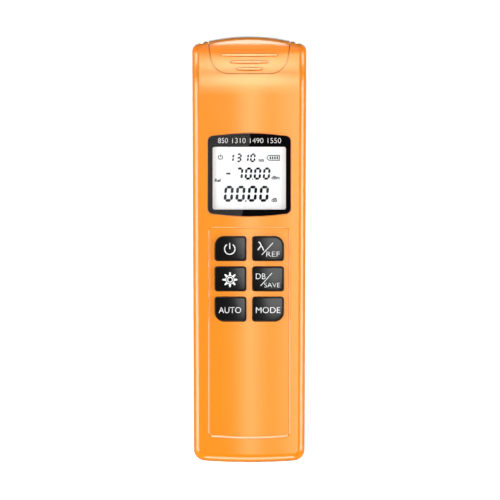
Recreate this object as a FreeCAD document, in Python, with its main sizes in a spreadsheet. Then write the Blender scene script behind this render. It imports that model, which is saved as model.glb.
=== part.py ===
import FreeCAD, Part
import math
import os
import Sketcher
from FreeCAD import Vector

# A handheld optical power meter, lying on its back.
# X runs across the width, Y runs along the length towards the optical port, and Z runs up out
# of the face with the display. The origin is the middle of the surface that it lies on.

doc = FreeCAD.newDocument("optical_power_meter")

# ------------------------------------------------------------------ driving dimensions
# alias, value in mm (angles in degrees), meaning
DIMENSIONS = [
    ("body_length", 176.0, "length of the rear shell"),
    ("end_lip", 0.5, "how far the rear shell stands past the front shell at the port end"),
    ("width_top", 47.1, "width at the port end"),
    ("width_bottom", 45.6, "width at the battery end"),
    ("thickness", 27.0, "height of the face's ridge above the back"),
    ("parting", 11.5, "height of the joint between the two shells"),
    ("parting_groove", 0.3, "width and depth of the shadow line round that joint"),
    ("wall", 2.0, "wall of both shells"),
    ("end_arc_top", 77.0, "plan radius of the port end"),
    ("end_arc_bottom", 265.0, "plan radius of the battery end"),
    ("corner_top", 3.0, "plan radius of the corners at the port end"),
    ("corner_bottom", 4.8, "plan radius of the corners at the battery end"),
    ("crown_radius", 190.0, "radius of the face across the width"),
    ("face_edge", 3.2, "rounding between face and sides"),
    ("face_edge_inner", 0.9, "how round the face's inner edges are, as a share of concentric"),
    ("back_edge", 5.0, "rounding between back and sides"),
    ("ogee_from_end", 14.5, "middle of the step down in the face, from the port end"),
    ("ogee_half", 9.0, "half the length of that step"),
    ("ogee_drop", 1.0, "half the drop of that step"),
    ("roll_radius", 10.0, "radius where the face rolls over the port end"),
    ("roll_turn", 40.0, "angle of that roll"),
    ("back_ogee_from_end", 41.5, "middle of the rise in the back, from the port end"),
    ("back_ogee_half", 16.0, "half the length of that rise"),
    ("back_ogee_rise", 2.0, "half the height of that rise"),
    ("lip_height", 1.5, "height of the rear shell's locating lip"),
    ("lip_width", 1.0, "width of that lip"),
    ("lip_gap", 0.1, "clearance round that lip"),
    ("panel_width", 34.2, "width of the sunk key panel"),
    ("panel_from_end", 78.2, "upper edge of the key panel, from the port end"),
    ("panel_from_base", 9.6, "lower edge of the key panel, from the battery end"),
    ("panel_bow", 0.7, "how far the panel's lower edge bows down"),
    ("panel_corner", 2.0, "corner radius of the key panel"),
    ("panel_depth", 0.6, "depth of the key panel"),
    ("panel_cove", 0.95, "radius of the cove round the key panel"),
    ("lens_width", 34.6, "width of the display lens"),
    ("lens_from_end", 39.5, "upper edge of the lens, from the port end"),
    ("lens_height", 34.7, "height of the lens along the body"),
    ("lens_bow", 1.0, "how far the lens's ends bow out"),
    ("lens_corner", 2.4, "corner radius of the lens"),
    ("lens_gap", 0.12, "clearance round the lens"),
    ("lens_sunk", 0.15, "how far the lens lies below the face"),
    ("lens_seat", 2.1, "depth of the lens's flat underside below the ridge"),
    ("mask_thickness", 0.15, "thickness of the printed frame and its adhesive"),
    ("mask_margin", 0.3, "how far the printed frame stays inside the lens"),
    ("view_width", 30.2, "width of the clear window"),
    ("view_height", 25.9, "height of the clear window"),
    ("view_rise", 3.0, "window's lower edge above the lens's lower edge"),
    ("view_corner", 0.8, "corner radius of the clear window"),
    ("view_margin", 0.5, "how far the opening in the shell stays outside the window"),
    ("seat_rib", 1.9, "width of the rib under the lens's seat"),
    ("seat_floor", 0.85, "thickness of the lens's seat"),
    ("key_pitch_x", 15.5, "distance between the two columns of keys"),
    ("key_pitch_y", 12.5, "distance between the three rows of keys"),
    ("key_from_panel", 9.1, "first row of keys, from the panel's upper edge"),
    ("key_width", 12.65, "width of a keycap"),
    ("key_height", 9.95, "height of a keycap along the body"),
    ("key_gap", 0.25, "clearance round a keycap"),
    ("key_corner", 1.0, "corner radius of a keycap"),
    ("key_group_corner", 3.8, "corner radius at the outer corners of the group"),
    ("key_proud", 0.4, "how far a keycap stands above the face"),
    ("key_crown_edge", 0.55, "rounding round the top of a keycap"),
    ("key_flange", 0.6, "how far a keycap's flange reaches under the shell"),
    ("key_flange_thickness", 0.9, "thickness of that flange"),
    ("key_travel", 0.8, "travel of a keycap"),
    ("board_depth", 6.6, "upper side of the circuit board below the ridge"),
    ("board_thickness", 1.6, "thickness of the circuit board"),
    ("board_edge_gap", 0.9, "clearance between the board and the shell"),
    ("board_from_end", 24.0, "upper edge of the board, from the port end"),
    ("board_from_base", 7.0, "lower edge of the board, from the battery end"),
    ("board_corner", 3.0, "corner radius of the board"),
    ("mat_base", 0.8, "thickness of the silicone keypad's sheet"),
    ("mat_margin", 1.0, "how far that sheet reaches past the keycaps"),
    ("dome_foot", 4.4, "radius of a silicone dome at its foot"),
    ("dome_top", 3.4, "radius of a silicone dome at its top"),
    ("dome_height", 2.0, "height of a silicone dome above the sheet"),
    ("dome_roof", 0.7, "thickness of a dome's roof"),
    ("dome_wall", 1.0, "wall of a dome at its foot"),
    ("pill_radius", 1.8, "radius of the contact pill in a dome"),
    ("pill_height", 0.7, "height of that pill"),
    ("contact_radius", 2.5, "radius of a key's contact on the board"),
    ("contact_thickness", 0.12, "thickness of that contact"),
    ("display_width", 34.0, "width of the display's glass"),
    ("display_height", 32.0, "height of the display's lower glass"),
    ("display_ledge", 2.4, "lower glass left bare for its contacts"),
    ("glass_thickness", 1.0, "thickness of each of the two glasses"),
    ("display_gap", 0.2, "gap between the display and the lens's seat"),
    ("light_guide", 1.0, "thickness of the backlight"),
    ("frame_wall", 0.9, "wall of the display's frame"),
    ("frame_gap", 0.1, "clearance between the display and its frame"),
    ("flap_width", 34.7, "width of the cap over the port, at the port end"),
    ("flap_flare", 2.2, "how much each side of the cap closes in towards its free edge"),
    ("flap_length", 15.25, "length of the cap along the face"),
    ("flap_corner", 7.8, "corner radius of the cap's free edge"),
    ("flap_slit", 0.26, "gap round the cap"),
    ("flap_ledge", 0.6, "ledge under the cap's edge, round the port bay"),
    ("flap_cover_wall", 1.5, "wall of the cap's cover"),
    ("flap_liner_wall", 1.15, "wall of the cap's liner"),
    ("flap_liner_gap", 0.05, "gap between the cover and the liner"),
    ("flap_rest_gap", 0.15, "gap between the liner and the ledge"),
    ("flap_liner_margin", 0.6, "how far the liner stays inside the cover's edge"),
    ("surround_wall", 1.8, "wall round the cap's opening"),
    ("grip_height", 0.45, "height of the grip ribs on the cap"),
    ("grip_width", 1.6, "width of a grip rib in its middle"),
    ("grip_pitch", 2.85, "distance between the grip ribs"),
    ("grip_first", 7.85, "uppermost grip rib, from the cap's free edge"),
    ("grip_long", 24.0, "length of the uppermost grip rib"),
    ("grip_middle", 15.8, "length of the middle grip rib"),
    ("grip_short", 11.0, "length of the lowest grip rib"),
    ("grip_bow", 0.25, "how far a grip rib's long edges bow out"),
    ("hinge_from_end", 2.6, "hinge axis from the front shell's end"),
    ("hinge_height", 10.0, "height of the hinge axis"),
    ("barrel_radius", 2.0, "radius of the cap's hinge barrel"),
    ("pin_radius", 0.8, "radius of the hinge pin"),
    ("pin_gap", 0.05, "radial clearance of the barrel on its pin"),
    ("pin_hold", 2.75, "length of the pin held in each shoulder"),
    ("notch_gap", 0.4, "clearance behind the turning end of the cap"),
    ("strip_depth", 2.0, "how far the cap's end skirt reaches below the hinge axis"),
    ("bay_width", 30.0, "width of the port bay"),
    ("bay_floor", 8.6, "height of the port bay's floor"),
    ("bay_floor_thickness", 1.5, "thickness of that floor"),
    ("bulkhead_from_flap", 1.35, "front of the bulkhead from the cap's free edge"),
    ("bulkhead_thickness", 1.8, "thickness of the bulkhead"),
    ("bulkhead_width", 33.0, "width of the bulkhead"),
    ("bulkhead_gap", 0.1, "clearance round the bulkhead"),
    ("bulkhead_top", 21.9, "height of the bulkhead's upper edge"),
    ("port_height", 17.4, "height of the port's axis"),
    ("stub_radius", 4.0, "radius of the adapter's threaded stub"),
    ("stub_length", 8.3, "length of the adapter in front of the bulkhead"),
    ("stub_bore", 3.05, "radius of the stub's mouth"),
    ("stub_bore_depth", 6.0, "depth of the stub's mouth"),
    ("sleeve_radius", 2.0, "outer radius of the ferrule sleeve"),
    ("sleeve_sunk", 0.8, "sleeve's end below the stub's end"),
    ("ferrule_bore", 1.27, "radius of the ferrule's bore"),
    ("key_slot", 2.15, "width of the stub's key slot"),
    ("key_slot_depth", 2.6, "depth of that slot"),
    ("adapter_flange", 1.3, "thickness of the adapter's flange"),
    ("adapter_flange_radius", 5.2, "radius of that flange"),
    ("adapter_ear", 7.6, "screws of the adapter, from its axis"),
    ("adapter_ear_radius", 2.1, "radius of the flange's ears"),
    ("adapter_spigot", 3.2, "radius of the spigot through the bulkhead"),
    ("small_screw_radius", 0.8, "radius of the small screws' shanks"),
    ("small_head_radius", 1.5, "radius of the small screws' heads"),
    ("small_head_height", 0.9, "height of the small screws' heads"),
    ("small_screw_length", 4.0, "length of the small screws under the head"),
    ("holder_radius", 4.2, "radius of the detector's holder"),
    ("holder_length", 6.5, "length of the detector's holder"),
    ("can_radius", 2.7, "radius of the photodiode's can"),
    ("can_length", 4.0, "length of that can"),
    ("can_gap", 0.06, "clearance round the photodiode"),
    ("lead_radius", 0.25, "radius of the photodiode's leads"),
    ("lead_spread", 1.27, "distance of a lead from the axis"),
    ("lead_run", 5.5, "length of a lead before it turns up"),
    ("cell_radius", 5.2, "radius of an AAA cell"),
    ("cell_length", 44.5, "length of an AAA cell with its nub"),
    ("cell_nub_radius", 1.9, "radius of the nub"),
    ("cell_nub_length", 0.9, "length of the nub"),
    ("cell_edge", 0.5, "chamfer round a cell's ends"),
    ("cell_pitch", 10.8, "distance between the cells"),
    ("cell_gap", 0.25, "gap under the cells"),
    ("bay_length", 49.4, "length of the battery bay"),
    ("bay_from_base", 4.7, "battery bay's lower end, from the battery end"),
    ("bay_side_gap", 0.4, "gap beside the outer cells"),
    ("bay_wall", 1.2, "wall of the battery bay"),
    ("plate_thickness", 0.35, "thickness of the contact plates"),
    ("plate_height", 8.0, "height of the contact plates"),
    ("plate_width", 8.4, "width of a single contact plate"),
    ("spring_wire", 0.4, "radius of the springs' wire"),
    ("spring_radius", 2.9, "radius of the springs at the plate"),
    ("spring_turns", 2.5, "turns of a spring"),
    ("door_width", 34.8, "width of the battery door"),
    ("door_length", 62.0, "length of the battery door"),
    ("door_gap", 0.2, "clearance round the battery door"),
    ("door_sunk", 0.2, "how far the door lies inside the back"),
    ("door_skin", 1.6, "wall of the battery door"),
    ("door_end_height", 5.6, "height of the door's curved end"),
    ("door_tongue", 1.0, "how far the door's tongues reach under the shell"),
    ("door_tongue_thickness", 0.8, "thickness of those tongues"),
    ("door_slide_gap", 0.08, "clearance above and below the tongues"),
    ("door_rim", 1.6, "width of the rim inside the door"),
    ("door_grip_ribs", 5, "number of grip ribs on the door"),
    ("door_grip_pitch", 2.2, "distance between those ribs"),
    ("door_grip_width", 1.0, "width of a rib on the door"),
    ("door_grip_length", 15.0, "length of a rib on the door"),
    ("door_grip_depth", 0.6, "depth of the thumb hollow that holds the ribs"),
    ("door_grip_from_end", 12.0, "middle of the thumb hollow, from the door's upper end"),
    ("boss_radius", 2.6, "radius of the front shell's screw bosses"),
    ("back_boss_radius", 2.9, "radius of the rear shell's screw bosses"),
    ("screw_radius", 1.1, "radius of the shell screws' shanks"),
    ("screw_head_radius", 2.0, "radius of the shell screws' heads"),
    ("screw_head_height", 1.5, "height of the shell screws' heads"),
    ("screw_length", 10.5, "length of the shell screws under the head"),
    ("screw_seat", 6.4, "height of the shell screws' seats"),
    ("screw_gap", 0.2, "radial clearance of the screws in the rear shell"),
    ("recess_width", 0.5, "width of the cross recess in a screw"),
    ("boss_x", 18.0, "bosses from the middle line"),
    ("upper_boss_from_end", 22.5, "upper bosses, from the port end"),
    ("lower_boss_from_door", 4.2, "lower bosses, from the door's upper end"),
    ("board_boss_radius", 2.0, "radius of the board's bosses"),
    ("board_boss_x", 17.6, "board's bosses from the middle line"),
]

sheet = doc.addObject("Spreadsheet::Sheet", "Dims")
for row, (alias, value, meaning) in enumerate(DIMENSIONS, 1):
    sheet.set("A%d" % row, meaning)
    sheet.set("B%d" % row, str(value))
    sheet.setAlias("B%d" % row, alias)
doc.recompute()


# ------------------------------------------------------------------ sizes with formulas
class Size:
    """A size that knows both its value and the sheet formula that gives it."""

    def __init__(self, value, formula):
        self.value = value
        self.formula = formula

    def __add__(self, other):
        other = size(other)
        return Size(self.value + other.value, "(%s + %s)" % (self.formula, other.formula))

    def __sub__(self, other):
        other = size(other)
        return Size(self.value - other.value, "(%s - %s)" % (self.formula, other.formula))

    def __mul__(self, other):
        other = size(other)
        return Size(self.value * other.value, "(%s * %s)" % (self.formula, other.formula))

    def __truediv__(self, other):
        other = size(other)
        return Size(self.value / other.value, "(%s / %s)" % (self.formula, other.formula))

    def __radd__(self, other):
        return size(other) + self

    def __rsub__(self, other):
        return size(other) - self

    def __rmul__(self, other):
        return size(other) * self

    def __neg__(self):
        return Size(-self.value, "(-1 * %s)" % self.formula)


def size(number):
    """A plain number as a Size. A Size stays as it is."""
    return number if isinstance(number, Size) else Size(float(number), "%.10g" % number)


def root(square):
    return Size(math.sqrt(square.value), "sqrt(%s)" % square.formula)


def sine(degrees):
    return Size(math.sin(math.radians(degrees.value)), "sin(%s)" % degrees.formula)


def cosine(degrees):
    return Size(math.cos(math.radians(degrees.value)), "cos(%s)" % degrees.formula)


class Dimensions:
    """The sheet's cells as Sizes, one attribute for each alias."""


D = Dimensions()
for alias, value, meaning in DIMENSIONS:
    setattr(D, alias, Size(float(getattr(sheet, alias)), "Dims." + alias))


# ------------------------------------------------------------------ outlines
class Loop:
    """An outline drawn from point to point, closed with a line where it must, or left open."""

    def __init__(self, x, y, closed=True):
        self.points = [(size(x), size(y))]
        self.edges = []
        self.closed = closed

    def line(self, x, y):
        self.points.append((size(x), size(y)))
        self.edges.append(None)
        return self

    def arc(self, x, y, radius, turn=1):
        """An arc of less than half a turn: turn is 1 to the left and -1 to the right."""
        self.points.append((size(x), size(y)))
        self.edges.append((size(radius), turn))
        return self


class Circle:
    def __init__(self, x, y, radius):
        self.x, self.y, self.radius = size(x), size(y), size(radius)


def rectangle(x0, y0, x1, y1):
    return Loop(x0, y0).line(x1, y0).line(x1, y1).line(x0, y1)


def rounded(x0, y0, x1, y1, low_left, low_right=None, high_right=None, high_left=None):
    """A rectangle with round corners, all of one radius or each of its own."""
    radii = [low_left, low_right or low_left, high_right or low_left, high_left or low_left]
    a, b, c, d = [size(radius) for radius in radii]
    x0, y0, x1, y1 = size(x0), size(y0), size(x1), size(y1)
    loop = Loop(x0 + a, y0).line(x1 - b, y0).arc(x1, y0 + b, b)
    loop.line(x1, y1 - c).arc(x1 - c, y1, c)
    loop.line(x0 + d, y1).arc(x0, y1 - d, d)
    return loop.line(x0, y0 + a).arc(x0 + a, y0, a)


def stadium(x, y, length, width):
    """A bar with round ends, along X, each end two quarter turns."""
    half, r = size(length) / 2, size(width) / 2
    loop = Loop(x - half + r, y - r).line(x + half - r, y - r)
    loop.arc(x + half, y, r).arc(x + half - r, y + r, r)
    loop.line(x - half + r, y + r)
    return loop.arc(x - half, y, r).arc(x - half + r, y - r, r)


def draw(sketch, shape):
    """Draws a Loop or a Circle in a sketch and binds each of its sizes to the sheet."""

    def bind(kind, size_of, *where):
        number = sketch.addConstraint(Sketcher.Constraint(kind, *where, size_of.value))
        sketch.setExpression("Constraints[%d]" % number, size_of.formula)

    if isinstance(shape, Circle):
        centre = Vector(shape.x.value, shape.y.value, 0)
        edge = sketch.addGeometry(Part.Circle(centre, Vector(0, 0, 1), shape.radius.value), False)
        bind("DistanceX", shape.x, -1, 1, edge, 3)
        bind("DistanceY", shape.y, -1, 1, edge, 3)
        bind("Radius", shape.radius, edge)
        return
    points, edges = list(shape.points), list(shape.edges)
    first, last = points[0], points[-1]
    if abs(first[0].value - last[0].value) + abs(first[1].value - last[1].value) < 1e-6:
        points.pop()
    elif shape.closed:
        edges.append(None)
    drawn = []
    for number, edge in enumerate(edges):
        start, end = points[number], points[(number + 1) % len(points)]
        p, q = [Vector(x.value, y.value, 0) for x, y in (start, end)]
        if edge is None:
            drawn.append((sketch.addGeometry(Part.LineSegment(p, q), False), 1, 2))
            continue
        radius, turn = edge
        along = q - p
        rise = math.sqrt(max(radius.value**2 - along.Length**2 / 4, 0))
        centre = (p + q) / 2 + Vector(-along.y, along.x, 0).normalize() * rise * turn
        low, high = (p, q) if turn > 0 else (q, p)
        angles = [math.atan2(v.y - centre.y, v.x - centre.x) for v in (low, high)]
        angles[1] += 2 * math.pi if angles[1] < angles[0] else 0
        circle = Part.Circle(centre, Vector(0, 0, 1), radius.value)
        arc = sketch.addGeometry(Part.ArcOfCircle(circle, *angles), False)
        drawn.append((arc, 1, 2) if turn > 0 else (arc, 2, 1))
        bind("Radius", radius, arc)
    followers = drawn[1:] + drawn[:1] if shape.closed else drawn[1:]
    for (edge, start, end), (after, after_start, after_end) in zip(drawn, followers):
        sketch.addConstraint(Sketcher.Constraint("Coincident", edge, end, after, after_start))
    ends = [(edge, start) for edge, start, end in drawn]
    if not shape.closed:
        ends.append((drawn[-1][0], drawn[-1][2]))
    for (edge, end), (x, y) in zip(ends, points):
        bind("DistanceX", x, -1, 1, edge, end)
        bind("DistanceY", y, -1, 1, edge, end)


def free_sketch(label, plane, level, shape):
    """A sketch outside any body, on a plane across Y (XZ) or across X (YZ)."""
    sketch = doc.addObject("Sketcher::SketchObject", label)
    turn = FreeCAD.Rotation(0, 0, 90) if plane == "XZ" else FreeCAD.Rotation(90, 0, 90)
    sketch.Placement = FreeCAD.Placement(Vector(0, 0, 0), turn)
    along = ".Placement.Base.y" if plane == "XZ" else ".Placement.Base.x"
    sketch.setExpression(along, size(level).formula)
    draw(sketch, shape)
    doc.recompute()
    return sketch


def sweep(label, section, path):
    """A solid swept along a path, both given as sketches."""
    swept = doc.addObject("Part::Sweep", label)
    swept.Sections = [section]
    swept.Spine = (path, ["Edge%d" % number for number in range(1, len(path.Shape.Edges) + 1)])
    swept.Solid = True
    swept.Frenet = False
    doc.recompute()
    return swept


# ------------------------------------------------------------------ pieces
class Piece:
    """A PartDesign body. Levels are heights on Z for XY, places on Y for XZ and on X for YZ."""

    def __init__(self, label):
        self.body = doc.addObject("PartDesign::Body", label)
        self.body.Label = label
        self.body.AllowCompound = True

    def sketch(self, plane, level, shapes):
        sketch = self.body.newObject("Sketcher::SketchObject", self.body.Name + "_sketch")
        origin = self.body.Origin.OriginFeatures
        sketch.AttachmentSupport = [f for f in origin if f.Role == plane + "_Plane"][0]
        sketch.MapMode = "FlatFace"
        level = -size(level) if plane == "XZ" else size(level)
        sketch.setExpression(".AttachmentOffset.Base.z", level.formula)
        for shape in shapes:
            draw(sketch, shape)
        doc.recompute()
        return sketch

    def extrude(self, kind, plane, low, high, shapes):
        """A feature of the given kind that fills the shapes from level low to level high."""
        low, high = size(low), size(high)
        sketch = self.sketch(plane, high if plane == "XZ" else low, shapes)
        feature = self.body.newObject(kind, self.body.Name + "_" + kind[12:].lower())
        feature.Profile = sketch
        feature.Refine = False
        feature.setExpression("Length", (high - low).formula)
        return feature

    def pad(self, plane, low, high, *shapes):
        self.extrude("PartDesign::Pad", plane, low, high, shapes)
        doc.recompute()
        return self

    def pocket(self, plane, low, high, *shapes):
        before = self.body.Shape.Volume
        self.extrude("PartDesign::Pocket", plane, low, high, shapes).Reversed = True
        doc.recompute()
        if self.body.Shape.Volume > before - 1e-6:
            raise RuntimeError("a pocket in %s cuts nothing" % self.body.Label)
        return self

    def dress(self, kind, amount, test):
        """A fillet or a chamfer on the edges that pass the test."""
        before = self.body.Tip
        feature = self.body.newObject(kind, self.body.Name + "_" + kind[12:].lower())
        feature.Base = (before, names_of_edges(before.Shape, test))
        feature.Refine = False
        feature.setExpression("Radius" if kind.endswith("Fillet") else "Size", size(amount).formula)
        self.body.Tip = feature
        doc.recompute()
        return self

    def fillet(self, radius, test):
        return self.dress("PartDesign::Fillet", radius, test)

    def chamfer(self, width, test):
        return self.dress("PartDesign::Chamfer", width, test)


def names_of_edges(shape, test):
    names = ["Edge%d" % number for number, edge in enumerate(shape.Edges, 1) if test(shape, edge)]
    if not names:
        raise RuntimeError("no edge to dress")
    return names


def upright(shape, edge):
    """Edges that run straight up."""
    low, high = edge.Vertexes[0].Point, edge.Vertexes[-1].Point
    return abs(low.x - high.x) + abs(low.y - high.y) < 1e-6 < abs(low.z - high.z)


def at_station(station, within=0.01):
    """A test for edges that lie whole at one place along the body."""

    def test(shape, edge):
        places = [edge.valueAt(t).y for t in parameters(edge)]
        return max(abs(y - size(station).value) for y in places) < within

    return test


def parameters(edge):
    first, last = edge.ParameterRange
    return [first + (last - first) * share for share in (0, 0.25, 0.5, 0.75, 1)]


def rises(face):
    """How much a face looks up at its middle, from -1 to 1."""
    u0, u1, v0, v1 = face.ParameterRange
    return face.normalAt((u0 + u1) / 2, (v0 + v1) / 2).z


def face_rim(shape, edge):
    """Edges between the sides and the face of the housing."""
    sides = [rises(face) for face in shape.ancestorsOfType(edge, Part.Face)]
    return len(sides) == 2 and min(abs(z) for z in sides) < 0.01 and max(sides) > 0.3


def back_rim(shape, edge):
    """Edges between the sides and the back of the housing."""
    sides = [rises(face) for face in shape.ancestorsOfType(edge, Part.Face)]
    return len(sides) == 2 and min(abs(z) for z in sides) < 0.01 and min(sides) < -0.3


def combine(kind, label, shapes):
    """A Part boolean of several objects."""
    result = doc.addObject(kind, label)
    result.Label = label
    if kind == "Part::Compound":
        result.Links = shapes
    else:
        result.Refine = False
        result.Shapes = [getattr(shape, "body", shape) for shape in shapes]
    doc.recompute()
    return result


def join(label, *shapes):
    return combine("Part::MultiFuse", label, shapes)


def common(label, *shapes):
    return combine("Part::MultiCommon", label, shapes)


def cut(label, base, *tools):
    """The base less all the tools."""
    result = doc.addObject("Part::Cut", label)
    result.Label = label
    result.Refine = False
    result.Base = getattr(base, "body", base)
    tool = tools[0] if len(tools) == 1 else join(label + "_tools", *tools)
    result.Tool = getattr(tool, "body", tool)
    doc.recompute()
    return result


# ------------------------------------------------------------------ places shared by the pieces
top = D.body_length / 2 - D.end_lip
base = -D.body_length / 2
flap_low = top - D.flap_length
over = D.thickness + 1
beyond = D.body_length / 2 + 2
hinge_y = top - D.hinge_from_end
hinge_height = D.hinge_height
skirt_reach = D.hinge_from_end + D.end_lip
notch_low = hinge_y - root(skirt_reach * skirt_reach + D.strip_depth * D.strip_depth) - D.notch_gap
notch_half = D.flap_width / 2
board_high = D.thickness - D.board_depth
board_low = board_high - D.board_thickness


def plan(inset, lip=0):
    """The housing's plan: tapering sides, a bowed battery end and a rounder port end."""
    inset = size(inset)
    half_top, half_bottom = D.width_top / 2 - inset, D.width_bottom / 2 - inset
    arc_top, arc_bottom = D.end_arc_top - inset + lip, D.end_arc_bottom - inset
    high = top + lip - inset - arc_top + root(arc_top * arc_top - half_top * half_top)
    low = base + inset + arc_bottom - root(arc_bottom * arc_bottom - half_bottom * half_bottom)
    loop = Loop(-half_bottom, low).arc(half_bottom, low, arc_bottom).line(half_top, high)
    return loop.arc(-half_top, high, arc_top)


def round_corners(piece, inset):
    """Rounds the four upright corners of a plan, as far as the inset leaves them round."""
    for radius, low_end in ((D.corner_bottom, True), (D.corner_top, False)):
        if (radius - inset).value < 0.3:
            continue
        piece.fillet(
            radius - inset,
            lambda shape, edge: upright(shape, edge) and (edge.Vertexes[0].Y < 0) == low_end,
        )


def face_form(label, inset, rim=True):
    """The space under the face, drawn in by inset: crowned, stepped down and rolled over."""
    inset = size(inset)
    prism = Piece(label + "_prism").pad("XY", D.parting, over, plan(inset))
    round_corners(prism, inset)
    start = base - D.wall
    reach = D.width_top / 2 + D.wall * 3
    ridge = D.thickness - inset
    crown = D.crown_radius - inset
    shoulder = ridge - crown + root(crown * crown - reach * reach)
    slab = shoulder + D.thickness / 2
    profile = Loop(reach, shoulder).arc(-reach, shoulder, crown).line(-reach, slab).line(reach, slab)
    middle = top - D.ogee_from_end
    bend = (D.ogee_half * D.ogee_half + D.ogee_drop * D.ogee_drop) / (D.ogee_drop * 2)
    lean = D.ogee_half / bend
    outer = bend - inset
    first, last = middle - D.ogee_half, middle + D.ogee_half
    lower = D.thickness - D.ogee_drop * 2
    roll = D.roll_radius - inset
    roll_y = last + roll * sine(D.roll_turn)
    roll_z = lower - D.roll_radius + roll * cosine(D.roll_turn)
    line = Loop(start, ridge, closed=False).line(first, ridge)
    line.arc(first + outer * lean, D.thickness - bend + outer * root(1 - lean * lean), outer, -1)
    line.arc(last, lower - inset, bend + inset).arc(roll_y, roll_z, roll, -1)
    line.line(
        roll_y + D.roll_radius * cosine(D.roll_turn), roll_z - D.roll_radius * sine(D.roll_turn)
    )
    section = free_sketch(label + "_section", "XZ", start, profile)
    path = free_sketch(label + "_path", "YZ", 0, line)
    above = sweep(label + "_above", section, path)
    if not rim:
        return cut(label, prism, above)
    crowned = prism.body.Shape.cut(above.Shape)
    edges = [crowned.getElement(name) for name in names_of_edges(crowned, face_rim)]
    form = doc.addObject("Part::Feature", label)
    radius = (D.face_edge - inset) * (D.face_edge_inner if inset.value > 0 else 1)
    form.Shape = crowned.makeFillet(radius.value, edges)
    return form


def back_form(label, inset, high):
    """The space above the back, drawn in by inset: flat, and rising towards the port end."""
    inset = size(inset)
    form = Piece(label).pad("XY", inset, high, plan(inset, D.end_lip))
    round_corners(form, inset)
    middle = top - D.back_ogee_from_end
    half, rise = D.back_ogee_half, D.back_ogee_rise
    bend = (half * half + rise * rise) / (rise * 2)
    lean = half / bend
    fall = root(1 - lean * lean)
    first, last = middle - half, middle + half
    wedge = Loop(first, inset)
    wedge.arc(first + (bend - inset) * lean, bend - (bend - inset) * fall, bend - inset)
    wedge.arc(last, rise * 2 + inset, bend + inset, -1)
    wedge.line(beyond, rise * 2 + inset).line(beyond, inset - 1).line(first, inset - 1)
    form.pocket("YZ", -D.width_top, D.width_top, wedge)
    return form.fillet(D.back_edge - inset, back_rim)


def flap_outline(inset, high=None):
    """The cap's plan: a U whose sides open out towards the port end."""
    inset, high = size(inset), high or beyond
    length, flare, bend = D.flap_length, D.flap_flare, D.flap_corner - inset
    slant = root(length * length + flare * flare)
    low = flap_low + inset
    corner = D.flap_width / 2 - flare + inset * (flare - slant) / length
    tangent = bend * length / (slant + flare)
    flat, side_y = corner - tangent, low + tangent * length / slant
    side, wide = corner + tangent * flare / slant, corner + (high - low) * flare / length
    loop = Loop(-flat, low).line(flat, low).arc(side, side_y, bend).line(wide, high)
    return loop.line(-wide, high).line(-side, side_y).arc(-flat, low, bend)


# ------------------------------------------------------------------ front shell
lens_high = top - D.lens_from_end
lens_low = lens_high - D.lens_height
seat_z = D.thickness - D.lens_seat
panel_high = top - D.panel_from_end
panel_low = base + D.panel_from_base
view_low = lens_low + D.view_rise
rib_low = seat_z - D.mask_thickness - D.seat_floor
key_rows = [panel_high - D.key_from_panel - D.key_pitch_y * row for row in range(3)]
key_columns = [-D.key_pitch_x / 2, D.key_pitch_x / 2]
upper_boss_y = top - D.upper_boss_from_end
door_high = base + D.door_length + D.door_sunk
lower_boss_y = door_high + D.lower_boss_from_door
shell_bosses = [(side * D.boss_x, y) for y in (upper_boss_y, lower_boss_y) for side in (-1, 1)]
board_top = top - D.board_from_end
board_base = base + D.board_from_base
board_bosses = [
    (side * D.board_boss_x, y)
    for y in (lens_high + D.board_boss_radius * 2, base + D.board_from_base * 2)
    for side in (-1, 1)
]
bulkhead_front = flap_low + D.bulkhead_from_flap
bulkhead_back = bulkhead_front - D.bulkhead_thickness


def panel_outline():
    """The sunk panel: three straight sides and a lower edge that bows down."""
    half, r, bow = D.panel_width / 2, D.panel_corner, D.panel_bow
    bend = ((half - r) * (half - r) + bow * bow) / (bow * 2)
    foot = panel_low + bow
    loop = Loop(-half + r, foot).arc(half - r, foot, bend).arc(half, foot + r, r)
    loop.line(half, panel_high - r).arc(half - r, panel_high, r)
    loop.line(-half + r, panel_high).arc(-half, panel_high - r, r)
    return loop.line(-half, foot + r).arc(-half + r, foot, r)


def lens_outline(inset):
    """The lens: straight sides, bowed ends and round corners."""
    half, r, bow = D.lens_width / 2 - inset, D.lens_corner - inset, D.lens_bow
    low, high = lens_low + bow + inset, lens_high - bow - inset
    bend = ((half - r) * (half - r) + bow * bow) / (bow * 2)
    loop = Loop(-half + r, low).arc(half - r, low, bend).arc(half, low + r, r)
    loop.line(half, high - r).arc(half - r, high, r).arc(-half + r, high, bend)
    return loop.arc(-half, high - r, r).line(-half, low + r).arc(-half + r, low, r)


def view_outline(outset):
    """The clear window of the display, or the opening behind it."""
    half = D.view_width / 2 + outset
    low, high = view_low - outset, view_low + D.view_height + outset
    return rounded(-half, low, half, high, D.view_corner + outset)


def key_outline(column, row, outset=0):
    """A key, rounder at the outer corner of the group."""
    x, y = key_columns[column], key_rows[row]
    half, rise = D.key_width / 2 + outset, D.key_height / 2 + outset
    near, far = D.key_corner + outset, D.key_group_corner + outset
    radii = [near, near, near, near]
    if row != 1:
        radii[{(0, 0): 3, (1, 0): 2, (0, 2): 0, (1, 2): 1}[(column, row)]] = far
    return rounded(x - half, y - rise, x + half, y + rise, *radii)


def coved_recess(label, inset, outline, low, cove):
    """The space over the face's surface at an inset, within an outline that has a cove at its foot."""
    prism = Piece(label + "_outline").pad("XY", low, over, outline)
    space = prism.body.Shape.cut(face_form(label + "_floor", inset, rim=False).Shape)
    edges = [space.getElement(name) for name in names_of_edges(space, recess_foot)]
    recess = doc.addObject("Part::Feature", label)
    recess.Shape = space.makeFillet(cove.value, edges)
    return recess


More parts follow.
